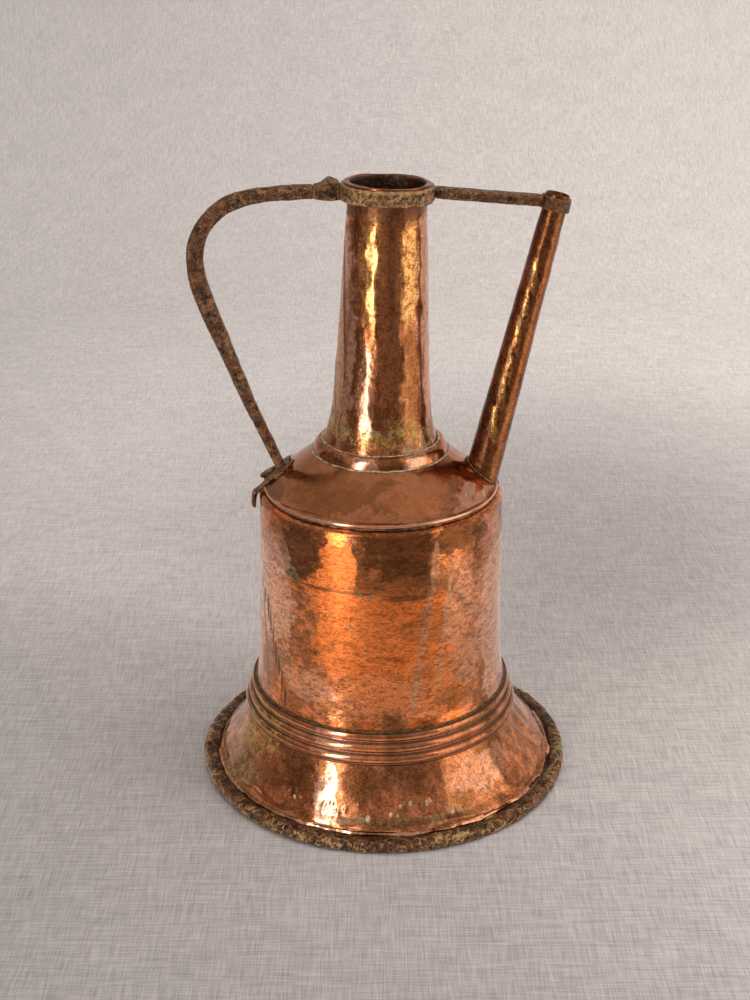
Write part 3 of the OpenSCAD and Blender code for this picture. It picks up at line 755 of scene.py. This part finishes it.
drum_marks = marks_at(
    ("orange", TURN, 6, 140, (60, 45, 52), 0.85),
    ("copper", TURN, -6, 102, (44, 40, 16), 0.55),
    ("orange", TURN, -20, 178, (22, 40, 22), 0.9),
    ("brown", TURN, 24, 152, (24, 30, 14), 0.45),
    ("pink", TURN, 46, 150, (22, 30, 50), 0.35),
    ("pink", TURN, 58, 206, (10, 30, 14), 0.55),
    ("russet", TURN, 26, 112, (24, 30, 18), 0.35),
    ("pink", TURN, -58, 165, (17, 40, 42), 0.75),
    ("pink", TURN, 68, 140, (14, 40, 70), 0.65),
    ("pink", TURN, -36, 100, (20, 40, 12), 0.4),
    ("dark", TURN, 6, 214, (30, 35, 17), 0.82),
    ("dark", TURN, 10, 198, (18, 35, 10), 0.8),
    ("dark", TURN, -38, 206, (14, 35, 18), 0.85),
    ("dark", TURN, 36, 216, (28, 40, 10), 0.88),
    ("dark", TURN, 18, 190, (7, 35, 6), 0.8),
    ("dark", TURN, -44, 190, (6, 35, 9), 0.8),
    ("brown", TURN, 14, 184, (26, 30, 9), 0.75),
    ("brown", TURN, -6, 188, (12, 30, 8), 0.65),
    ("brown", TURN, 50, 200, (16, 30, 14), 0.55),
    ("dark", TURN, -20, 181, (24, 30, 1.3), 0.75),
    ("dark", TURN, 12, 177, (20, 30, 2.2), 0.7),
    ("pink", TURN, -54, 196, (10, 40, 14), 0.55),
    # The orange and amber marks at -19 degrees give the left softbox's hot spot a painted highlight colour.
    ("orange", TURN, -19, 204, (12, 35, 16), 0.95),
    ("amber", TURN, -19, 221, (7, 35, 5), 0.9),
    ("green", TURN, -52, 112, (9, 30, 10), 0.6),
    ("green", TURN, -44, 186, (5, 30, 6), 0.8),
    ("green", TURN, -10, 181, (2.2, 30, 2.6), 0.95),
    ("green", TURN, -5, 179, (2.6, 30, 2.2), 0.95),
    ("green", TURN, -13, 155, (3.2, 30, 1.4), 0.9),
    ("brown", TURN, 30, 186, (9, 30, 7), 0.6),
    ("brown", TURN, -62, 105, (10, 20, 18), 0.55),
    ("dark", TURN, 140, 196, (26, 26, 12), 0.55),
    ("brown", TURN, 150, 206, (44, 30, 12), 0.6),
    ("brown", TURN, 205, 130, (50, 30, 40), 0.6),
    ("pink", TURN, 170, 160, (30, 30, 50), 0.4),
)
drum_marks += streak("tan", (25, 204), (15, 96), 2.0, 0.5, 8)
drum_marks += streak("tan", (33, 192), (27, 112), 1.1, 0.6, 7)
drum_marks += streak("dark", (-72, 160), (-64, 146), 0.8, 0.9, 3)
drum_marks += streak("dark", (-64, 146), (-50, 84), 0.8, 0.9, 7)
drum_marks += streak("dark", (-70, 140), (-66, 96), 0.6, 0.7, 4)
drum_marks += rings("dark", [BAND_TOP + 0.6], 1.6, 0.6)
MOUTH = mount_axis("mouth")[0] + Vector((0, 0, 8.5))
neck_marks = marks_at(
    # The gold marks at -12 and 36 degrees give the softboxes' reflections down the neck a painted highlight
    # colour.
    ("gold", 30, -12, 400, (9, 25, 34), 0.8),
    ("gold", 30, 36, 395, (11, 25, 36), 0.9),
    ("brown", 30, 33, 432, (12, 25, 9), 0.8),
    ("gold", 34, 34, 318, (4, 25, 20), 0.4),
    ("brown", 33, 30, 330, (10, 22, 24), 0.6),
    ("pink", 36, -18, 305, (6, 25, 34), 0.5),
    ("pink", 33, 68, 350, (7, 22, 90), 0.45),
    ("pink", 33, -60, 350, (11, 24, 90), 0.8),
    ("dark", 33, -50, 370, (1.0, 20, 60), 0.75),
    ("dark", 36, -64, 320, (0.9, 20, 60), 0.65),
    ("russet", 31, 10, 370, (9, 20, 70), 0.75),
    ("brown", 34, 43, 306, (4.2, 20, 44), 0.85),
    ("yellow", 38, 0, 276, (46, 50, 6), 0.75),
    ("yellow", 38, 30, 283, (12, 30, 7), 0.75),
    ("yellow", 34, -64, 300, (8, 20, 34), 0.6),
    ("green", 38, -20, 281, (26, 30, 2.0), 0.9),
    ("green", 38, 40, 270, (18, 30, 5), 0.9),
    ("black", 30, 0, 434, (40, 45, 6), 0.55),
)
neck_marks += [("brown", tuple(MOUTH), (60, 60, 4.5), 0.6)]
neck_marks += marks_at(("dark", 31, 14, 395, (2.5, 20, 42), 0.5))
shoulder_marks = marks_at(
    ("brown", 66, -33, 242, (31, 30, 12), 0.55),
    ("dark", 66, -22, 240, (15, 20, 7), 0.25),
    ("copper", 66, 22, 245, (26, 26, 12), 0.35),
    # The pink marks at 57 and 44 degrees are painted glints on the dents near the spout's foot.
    ("pink", 77, 57, 235, (14, 17, 8), 0.85),
    ("pink", 80, 44, 232, (14, 12, 3), 0.5),
    ("green", 46, 0, 261, (52, 52, 1.2), 0.7),
    ("dark", 82, -72, 233, (12, 18, 9), 0.5),
)
# The pink ring is a painted highlight along the shoulder's rolled edge.
shoulder_marks += rings("pink", [RIM_Z + 0.4], 1.3, 0.8)
skirt_marks = marks_at(
    # The pink marks at -20, -19 and 42 degrees give the softboxes' reflections a painted highlight colour.
    ("pink", 118, -20, 22, (9, 30, 16), 0.85),
    ("pink", 110, -19, 38, (5, 30, 12), 0.7),
    ("brown", 112, -9, 34, (10, 30, 18), 0.65),
    ("copper", 116, -46, 26, (20, 30, 20), 0.55),
    ("pink", 122, -62, 24, (20, 50, 14), 0.35),
    ("pink", 112, 42, 34, (26, 40, 11), 0.45),
    ("copper", 112, 30, 40, (24, 30, 9), 0.35),
    ("yellow", 106, -62, 44, (24, 30, 14), 0.85),
    ("yellow", 124, -62, 22, (14, 30, 20), 0.6),
    ("green", 128, -70, 20, (30, 60, 10), 0.5),
    ("dark", 128, -10, 14.5, (60, 40, 1.8), 0.5),
    ("green", 128, 10, 15, (60, 40, 3), 0.8),
    ("dark", 128, 40, 14, (40, 60, 2.2), 0.5),
    ("dark", 124, 6, 15, (30, 20, 3), 0.5),
)
# The pink ring is a painted highlight along the hem's roll, and the black ring is painted shade in the gap
# between the hem and the hoop.
skirt_marks += [("pink", (0, 0, SKIRT_Z + 7), (900, 900, 1.8), 0.7)]
skirt_marks += [("black", (0, 0, SKIRT_Z + 1.0), (900, 900, 3.0), 0.92)]
for azimuth, z, size in DRIPS:
    skirt_marks.append(("pale", around(122, azimuth, z), (0.8 * size, 6, 1.1 * size), 0.8))
grooves = [BAND_TOP + 0.1, BAND_TOP - 0.92 * BAND_PITCH, BAND_TOP - 1.92 * BAND_PITCH, SKIRT_TOP]
crests = [BAND_TOP - (k + 0.62) * BAND_PITCH for k in range(3)]
band_marks = marks_at(
    ("yellow", 100, -60, 62, (24, 34, 9), 0.85),
    # The pink mark is a painted highlight where the left softbox reflects.
    ("pink", 100, -20, 61, (14, 25, 14), 0.6),
)
# The pink rings are painted highlights on each bead's lower half, where the floor reflects.
band_marks += rings("black", grooves, 0.7, 0.85) + rings("pink", crests, 1.1, 0.75)
# Painted light and shade: the pink marks are painted highlights and the dark marks are painted shade between
# and beside them.
collar_marks = marks_at(
    ("pink", 46, -13, COLLAR_Z - 2, (9, 20, 9), 0.75),
    ("pink", 46, 32, COLLAR_Z - 2, (9, 20, 9), 0.75),
    ("dark", 46, 9, COLLAR_Z - 2, (9, 20, 9), 0.75),
    ("dark", 46, -45, COLLAR_Z - 2, (8, 20, 9), 0.5),
)


def along_spout(tone, side, radii, strength, heights):
    """Marks down the spout's front, at a distance to one side of its axis."""
    return [(tone, tuple(SPOUT @ Vector((side, -10.5, s))), radii, strength) for s in heights]


spout_marks = [("dark", (112, 0, 424), (30, 30, 26), 0.92), ("dark", (74, 0, 262), (12, 30, 18), 0.55)]
# The gold marks are a painted highlight strip down the spout's front.
spout_marks += along_spout("gold", -2.5, (2.2, 8, 14), 0.6, np.linspace(40, 150, 6))
spout_marks += along_spout("brown", 5.5, (4, 9, 22), 0.6, np.linspace(10, 180, 7))
spout_marks += along_spout("black", -8.5, (2.6, 8, 22), 0.5, np.linspace(20, 190, 7))
# The black mark in the mouth is painted shade.
inside_marks = [("black", tuple(MOUTH), (60, 60, 14), 0.8)]

PLAIN = ("brown", "russet", "copper")
drum_copper = copper(
    "drum_copper", ("brown", "copper", "orange"), drum_marks, speckle=0.65, pits=0.4, cracks=0.85,
    lie=(0.5, 0.5, 1.3)
)
neck_copper = copper("neck_copper", PLAIN, neck_marks, tarnish=0.6, dimple=0.9, streaks=0.6, pits=0.5)
shoulder_copper = copper(
    "shoulder_copper", ("brown", "russet", "russet"), shoulder_marks, tarnish=0.3, speckle=0.25, dimple=0.3,
    gloss=0.03, pits=0.1, grain=0.35
)
skirt_copper = copper("skirt_copper", PLAIN, skirt_marks, tarnish=0.6, dimple=0.9, pits=0.6, cracks=0.6)
band_copper = copper(
    "band_copper", PLAIN, band_marks, tarnish=0.4, speckle=0.3, dimple=0.5, gloss=0.03, grain=0.5
)
collar_copper = copper("collar_copper", PLAIN, collar_marks, tarnish=0.6, speckle=0.4, dimple=0.8, gloss=0.03)
spout_copper = copper(
    "spout_copper", ("black", "dark", "brown"), spout_marks, tarnish=0.6, speckle=0.9, dimple=3.4, pits=2.6,
    gloss=-0.03
)
# The inside's black and dark tones are painted shade, where little light reaches into the can.
inside_copper = copper(
    "inside_copper", ("black", "black", "dark"), inside_marks, tarnish=0.2, speckle=0.8, dimple=2.0,
    gloss=-0.2
)

# Its black mark is painted shade on the hoop's inner side, in the gap under the skirt's hem.
hoop_iron = iron(
    "hoop_iron", (0.36, 0.165, 0.085), (0.13, 0.05, 0.026), (0.01, 0.007, 0.005), gold=0.85, rust=0.75,
    crust=1.5, marks=[("black", (0, 0, 0), (135.6, 135.6, 900), 0.93)]
)
# Its black mark is painted shade on the ring's underside.
mouth_iron = iron(
    "mouth_iron", (0.68, 0.41, 0.21), (0.25, 0.125, 0.06), (0.024, 0.014, 0.009), gold=0.5, rust=0.4,
    crust=0.7, fine=0.6, marks=[("black", tuple(MOUTH - Vector((0, 0, 17))), (60, 60, 4.5), 0.85)]
)
bar_iron = iron(
    "bar_iron", (0.4, 0.215, 0.11), (0.095, 0.043, 0.023), (0.011, 0.008, 0.007), gold=0.1, rust=0.55,
    fine=0.8
)
pale_solder = metal_line("pale_solder", (0.72, 0.62, 0.46), (0.3, 0.24, 0.12))
dark_solder = metal_line("dark_solder", (0.3, 0.2, 0.11), (0.1, 0.075, 0.04), rough=0.5)
brass = metal_line("brass_brazing", (0.55, 0.33, 0.11), (0.18, 0.12, 0.05), rough=0.4)

# Pieces

FOOT = Matrix.Identity(4)
lathe(
    "neck", neck_outer, neck_inner, 190, NECK, neck_relief, ["neck_tube"],
    [neck_copper, inside_copper]
)
lathe(
    "drum", drum_outer, drum_inner, 400, UPRIGHT, drum_relief, ["drum_wall"],
    [drum_copper, inside_copper]
)
lathe(
    "shoulder_sheet", shoulder_outer, shoulder_inner, 380, UPRIGHT, shoulder_relief, ["shoulder"],
    [shoulder_copper, inside_copper]
)
lathe(
    "skirt", skirt_outer, skirt_inner, 560, FOOT, skirt_relief, ["foot_skirt"],
    [skirt_copper, inside_copper], skirt_shift
)
band_inner = [[SKIRT_TOP_R - 2.6, SKIRT_TOP], [93.2, BAND_TOP]]
lathe(
    "beads", band_outline(), band_inner, 420, UPRIGHT, band_relief, ["bead_band"],
    [band_copper, inside_copper]
)


def collar_relief(az, z, r, points):
    return 0.16 * noise(points, 18, 91) + 0.07 * noise(points, 6, 92)


COLLAR_R = NECK_FOOT_R + 7.4
COLLAR_TOP = COLLAR_Z + 3.4
collar_base = shoulder_height(COLLAR_R) - 0.6
collar_outer = []
for a in np.linspace(0, math.pi / 2, 16):
    height = collar_base + (COLLAR_TOP - collar_base) * math.sin(a)
    collar_outer.append([NECK_FOOT_R + 1 + 6.4 * math.cos(a), height])
collar_inner = [[NECK_FOOT_R + 0.2, collar_base + 3], [NECK_FOOT_R + 0.2, COLLAR_Z + 2.6]]
lathe(
    "collar", collar_outer, collar_inner, 300, UPRIGHT, collar_relief, ["neck_collar"],
    [collar_copper]
)


def spout_mesh():
    """The spout stands on the shoulder, so each of its lines starts where it meets the shoulder's surface."""
    count, rows = 84, 140
    a = np.arange(count) * 2 * math.pi / count
    low, high = np.full(count, -14.0), np.full(count, 20.0)
    for _ in range(30):
        mid = (low + high) / 2
        r = spout_radius(mid)
        p = placed(turned(r, a, mid), SPOUT)
        above = p[:, 2] > shoulder_height(np.hypot(p[:, 0] - AXIS_X, p[:, 1])) - 0.6
        high, low = np.where(above, mid, high), np.where(above, low, mid)
    t = np.linspace(0, 1, rows)
    s = high[:, None] + (SPOUT_TOP - high[:, None]) * t
    r = spout_radius(s)
    p = turned(r, a[:, None], s).reshape(-1, 3)
    push = 0.22 * noise(p, 26, 101) + 0.16 * noise(p, 8, 102) + 0.1 * noise(p, 3.6, 103)
    push = push.reshape(count, rows) * np.clip((1 - t) * 12, 0, 1)
    outer = turned(r + push, a[:, None], s)
    bore = turned(SPOUT_BORE_R, a, a * 0 + SPOUT_TOP)[:, None]
    lip = 0.5 * (outer[:, -1:] + bore) + (0, 0, 0.35)
    deep = bore - (0, 0, 16)
    foot_r = spout_radius(high) - 1.3
    foot = turned(foot_r, a, high + 0.4)[:, None]
    loop = np.concatenate([outer, lip, bore, deep, foot], 1)
    quads, row = tube_quads(count, loop.shape[1])
    points = placed(loop.reshape(-1, 3), SPOUT)
    both = [spout_copper, inside_copper]
    piece("spout", points, quads, ["spout_tube"], both, row > rows)


spout_mesh()


def no_relief(az, z, r, points):
    return 0 * z


# Seams at the back
neck_line = [[neck_radius(w), w] for w in steps(6, NECK_H - 12, 3)]
drum_line = [[drum_radius(z), z] for z in steps(BAND_TOP + 1.2, DRUM_TOP, 3)]
skirt_line = [flare(t) for t in np.linspace(0.82, 0.1, 16)]
spout_line = [[spout_radius(s), s] for s in steps(22, SPOUT_TOP - 13, 4)]
for part, line, matrix, relief, width, proud, shift in (
    ("neck", neck_line, NECK, neck_relief, 7, 0.6, None),
    ("drum", drum_line, UPRIGHT, drum_relief, 7, 0.6, None),
    ("skirt", skirt_line, FOOT, skirt_relief, 7, 0.6, skirt_shift),
    ("spout", spout_line, SPOUT, no_relief, 2.3, 0.55, None),
):
    seam(part + "_seam_braze", line, matrix, relief, width, proud, [part + "_seam"], [brass], shift)


def bead(name, node, material, radius, z, wide, high, seed, count):
    """A ring of solder round the body with a lumpy rounded section."""
    t = np.linspace(0, 2 * math.pi, 13)[:-1]
    section = np.stack([radius + wide * np.cos(t), z + high * np.sin(t)], 1)

    def relief(az, height, r, points):
        return 0.6 * noise(points, 4, seed, 2) * min(wide, high)

    lathe(name, section[:7], section[7:][::-1], count, UPRIGHT, relief, [node], [material])


# Solder lines
band_line_r = drum_radius(BAND_TOP) - 0.1
toe_r = COLLAR_R + 0.5
toe_z = shoulder_height(toe_r) + 0.1
bead("drum_solder_line", "drum_solder", dark_solder, band_line_r, BAND_TOP + 0.25, 0.5, 0.5, 111, 360)
bead("rim_solder_line", "rim_solder", dark_solder, FLANGE_R + 0.5, FLANGE_Z + 0.75, 0.9, 0.95, 112, 360)
bead("collar_solder_line", "collar_solder", pale_solder, toe_r, toe_z, 0.9, 0.5, 113, 300)
bead("neck_solder_line", "neck_solder", pale_solder, NECK_FOOT_R + 0.4, COLLAR_Z + 3.5, 0.8, 0.55, 114, 300)


# Forged iron
def worked(*layers):
    """A relief of smooth noise in layers of [height, size, seed]."""
    return lambda p: sum(height * noise(p, size, seed) for height, size, seed in layers)


def hoop_relief(p):
    az = np.degrees(np.arctan2(p[:, 0], -p[:, 1]))
    out = 0.55 * noise(p, 16, 121) + 0.55 * noise(p, 6, 122) + 0.42 * noise(p, 2.9, 123)
    lap = 1.6 * np.clip(turn(az, -99) / 1.5, 0, 1) * np.clip((-86 - az) / 1.2, 0, 1)
    out = out + lap * (p[:, 2] > 3)
    flat = np.clip((p[:, 2] - 0.3) / 2, 0, 1)
    return out * flat - 0.25


def bar_relief(p):
    """Lumps, and the bar's end pushed into the knuckle."""
    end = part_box("handle_bar")[1].x / MM
    return worked((0.35, 24, 141), (0.28, 8, 142), (0.16, 3, 143))(p) + 1.0 * (p[:, 0] > end - 1.2)


def knuckle_relief(p):
    """Lumps, and a hump on top that falls away to both ends."""
    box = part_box("handle_knuckle")
    start, end, top = box[0].x / MM, box[1].x / MM, box[1].z / MM
    crest = start + 0.48 * (end - start)
    high = np.clip((p[:, 2] - top + 7) / 5, 0, 1)
    hump = 0.9 * bell(p[:, 0], crest, 3.2)
    hump = hump - 1.5 * bell(p[:, 0], start + 1, 4) - 1.3 * bell(p[:, 0], end - 2, 4.5)
    return hump * high + 0.4 * noise(p, 7, 151) + 0.2 * noise(p, 3, 152)


mouth_relief = worked((0.38, 9, 131), (0.3, 3.4, 132), (0.12, 1.8, 133))
fork_relief = worked((0.35, 7, 161), (0.2, 2.6, 162))
patch_relief = worked((0.45, 6, 171), (0.3, 2.4, 172))
spot_relief = worked((0.5, 4, 181), (0.25, 2, 182))
ring_relief = worked((0.28, 5, 191), (0.18, 2.2, 192))
brace_relief = worked((0.25, 14, 201), (0.16, 4, 202))
fillet_relief = worked((0.25, 5, 211), (0.15, 2.2, 212))
forged("base_ring", "base_hoop", 1.1, 4, hoop_relief, [hoop_iron])
forged("mouth_ring", "mouth_hoop", 0.75, 3, mouth_relief, [mouth_iron])
forged("handle", "handle_bar", 0.95, 6, bar_relief, [bar_iron], grow=0.35)
forged("knuckle", "handle_knuckle", 0.7, 4, knuckle_relief, [bar_iron], grow=0.2)
forged("fork", "handle_fork", 0.6, 4, fork_relief, [bar_iron], grow=0.2)
forged("brazing_patch", "handle_brazing", 0.55, 2, patch_relief, [brass], grow=0.25)
forged("hoop_brazes", "hoop_brazing", 0.5, 1, spot_relief, [brass], grow=0.5)
forged("tip_ring", "spout_ring", 0.5, 3, ring_relief, [bar_iron], grow=0.1)
forged("brace", "spout_brace", 0.7, 4, brace_relief, [bar_iron], grow=0.25)
forged("spout_solder_fillet", "spout_solder", 0.6, 2, fillet_relief, [dark_solder])

# The bottom shows as its CAD solids
bottom = (("base_plate", inside_copper, "tinned_copper"), ("base_solder", dark_solder, "solder"))
for node, material, slot in bottom:
    frame["nodes"][node].data.materials.clear()
    frame["nodes"][node].data.materials.append(material)

# Floor, light and camera


def cloth_material():
    """Pale woven cloth, painted brighter to the back and the right, with a painted pool of light at the front
    right and a painted shadow behind the can.
    """
    f = Finish("cloth")
    threads = [f.noise(0.8, 1, 0.5, stretch=way) for way in ((1, 0.04, 0.04), (0.04, 1, 1))]
    slubs = [f.noise(1.6, 2, 0.6, stretch=way) for way in ((1, 0.06, 0.06), (0.06, 1, 1))]
    weave, slub = f.math("ADD", *threads), f.math("ADD", *slubs)
    shade = f.total((0.44, weave), (0.1, slub), (0.1, f.noise(60, 4, 0.6)))
    tone = f.ramp(shade, (0.42, (0.4, 0.374, 0.357)), (0.76, (0.7, 0.656, 0.628)))
    split = f.node("SeparateXYZ")
    f.put(split.inputs[0], f.place)
    # Painted light and shade: across and depth make the cloth paler to the right and to the back, front is a
    # painted pool of light, and behind is the can's painted shadow.
    across = f.smooth(split.outputs["X"], -900, 800)
    depth = f.smooth(f.total((1, split.outputs["Y"]), (0.45, split.outputs["X"])), -420, 900)
    behind = f.smooth(f.away((210, 450, 0), (370, 430, 900)), 0.1, 1.7)
    front = f.smooth(f.away((430, -160, 0), (300, 330, 900)), 0.1, 1.3)
    white = (1.0, 1.0, 1.0)
    for tint in (
        f.ramp(depth, (0.0, (0.62, 0.615, 0.63)), (0.45, (0.93, 0.92, 0.92)), (1.0, (1.11, 1.11, 1.12))),
        f.ramp(across, (0.0, (0.84, 0.84, 0.85)), (1.0, (1.07, 1.06, 1.06))),
        f.ramp(front, (0.0, (1.11, 1.11, 1.12)), (1.0, white)),
        f.ramp(behind, (0.0, (0.59, 0.58, 0.58)), (1.0, white)),
    ):
        tone = f.mix(1.0, tone, tint, "MULTIPLY")
    f.set("Base Color", tone)
    f.set("Roughness", 0.9)
    f.set("Specular IOR Level", 0.1)
    f.set("Normal", f.bump(weave, 0.25))
    return f.material


def stage_mesh(name, points, quads, material, glossy=True, only_glossy=False):
    mesh = bpy.data.meshes.new(name)
    mesh.from_pydata([tuple(p) for p in points], [], [tuple(int(v) for v in q) for q in quads])
    mesh.materials.append(material)
    mesh.shade_smooth()
    obj = bpy.data.objects.new(name, mesh)
    bpy.context.scene.collection.objects.link(obj)
    obj.visible_glossy = glossy or only_glossy
    if only_glossy:
        obj.visible_camera = False
        obj.visible_diffuse = False
        obj.visible_shadow = False
        obj.visible_transmission = False


def bowl(name, from_az, to_az, radii, glossy, material):
    """A sector of the cloth: flat near the can, and swept up into a wall all round. Metres."""
    azimuths = np.radians(np.linspace(from_az, to_az, int(abs(to_az - from_az) / 3) + 1))
    points, n = [], len(radii)
    for a in azimuths:
        for r in radii:
            rise = 0.0 if r < 1.4 else 1.35 * ((r - 1.4) / 1.6) ** 2
            points.append((r * math.sin(a), -r * math.cos(a), rise))
    quads = []
    for i in range(len(azimuths) - 1):
        for j in range(n - 1):
            quads.append((i * n + j, (i + 1) * n + j, (i + 1) * n + j + 1, i * n + j + 1))
    stage_mesh(name, points, quads, material, glossy)


cloth = cloth_material()
REACH = 0.47
FRONT = (-60, 100)
bowl("cloth_near", 0, 360, [0.0005, 0.2, REACH], False, cloth)
far = [REACH, 0.9, 1.4] + [1.4 + 0.1 * k for k in range(1, 17)]
bowl("cloth_front", FRONT[0], FRONT[1], far, False, cloth)
bowl("cloth_round", FRONT[1], FRONT[0] + 360, far, True, cloth)


def glow(name, colour, strength):
    material = bpy.data.materials.new(name)
    material.use_nodes = True
    tree = material.node_tree
    tree.nodes.clear()
    emission = tree.nodes.new("ShaderNodeEmission")
    emission.inputs["Color"].default_value = (*colour, 1)
    emission.inputs["Strength"].default_value = strength
    out = tree.nodes.new("ShaderNodeOutputMaterial")
    tree.links.new(emission.outputs[0], out.inputs[0])
    material.cycles.emission_sampling = "NONE"
    return material


def strip(name, from_az, to_az, count, edges, colour, strength):
    """A bright strip seen only in reflections, between two edges of (distance, z). Degrees and metres."""
    azimuths = np.radians(np.linspace(from_az, to_az, count))
    points = [(d * math.sin(a), -d * math.cos(a), z) for a in azimuths for d, z in edges]
    quads = [(2 * i, 2 * i + 2, 2 * i + 3, 2 * i + 1) for i in range(count - 1)]
    stage_mesh(name, points, quads, glow(name, colour, strength), only_glossy=True)


strip("left_softbox", -41, -30, 9, [(1.9, -1.4), (1.9, 2.2)], (1.0, 0.95, 0.9), 6.8)
strip("right_softbox", 50, 92, 9, [(2.0, -1.2), (2.0, 3.1)], (1.0, 0.9, 0.78), 1.35)
# A painted reflection: a glowing disc in place of the cloth that it lies on, which reflections don't show
strip("cloth_glow", 0, 360, 61, [(0.142, 0.0006), (REACH, 0.0006)], (1.0, 0.93, 0.86), 0.66)


def area(name, at, target, size, power, colour):
    light = bpy.data.lights.new(name, "AREA")
    light.shape = "RECTANGLE"
    light.size, light.size_y = size
    light.energy = power
    light.color = colour
    obj = bpy.data.objects.new(name, light)
    bpy.context.scene.collection.objects.link(obj)
    obj.location = at
    obj.rotation_euler = (Vector(target) - Vector(at)).to_track_quat("-Z", "Y").to_euler()
    obj.visible_camera = False
    obj.visible_glossy = False


area("overhead", (0.5, 0.1, 2.4), (0.1, 0.2, 0), (2.6, 2.2), 24, (1.0, 0.98, 0.96))
area("right_window", (1.9, -0.8, 1.5), (0, 0.1, 0.1), (0.9, 1.2), 22, (1.0, 0.97, 0.95))
area("left_window", (-1.2, -1.5, 1.0), (0.1, 0, 0.2), (0.6, 0.8), 13, (1.0, 0.97, 0.93))
area("wall_wash", (0.9, 0.2, 2.6), (0.5, 3.0, 0.4), (2.4, 1.0), 30, (1.0, 0.98, 0.96))

world = bpy.data.worlds.new("room")
bpy.context.scene.world = world
world.use_nodes = True
tree = world.node_tree
tree.nodes.clear()
coords = tree.nodes.new("ShaderNodeTexCoord")
split = tree.nodes.new("ShaderNodeSeparateXYZ")
ramp = tree.nodes.new("ShaderNodeValToRGB")
back = tree.nodes.new("ShaderNodeBackground")
out = tree.nodes.new("ShaderNodeOutputWorld")
tree.links.new(coords.outputs["Generated"], split.inputs[0])
tree.links.new(split.outputs["Z"], ramp.inputs[0])
tree.links.new(ramp.outputs[0], back.inputs[0])
tree.links.new(back.outputs[0], out.inputs[0])
ends = ramp.color_ramp.elements
ends[0].position, ends[0].color = 0.1, (0.27, 0.228, 0.195, 1)
ends[1].position, ends[1].color = 0.85, (0.5, 0.46, 0.43, 1)

camera_data = bpy.data.cameras.new("camera")
camera_data.lens = 52.74
camera_data.sensor_width = 36
camera = bpy.data.objects.new("camera", camera_data)
bpy.context.scene.collection.objects.link(camera)
camera.location = (-0.00735, -1.008, 0.6345)
camera.rotation_euler = (math.radians(67.4), 0, 0)
bpy.context.scene.camera = camera
bpy.context.scene.view_settings.view_transform = "Standard"

bpy.context.view_layer.update()
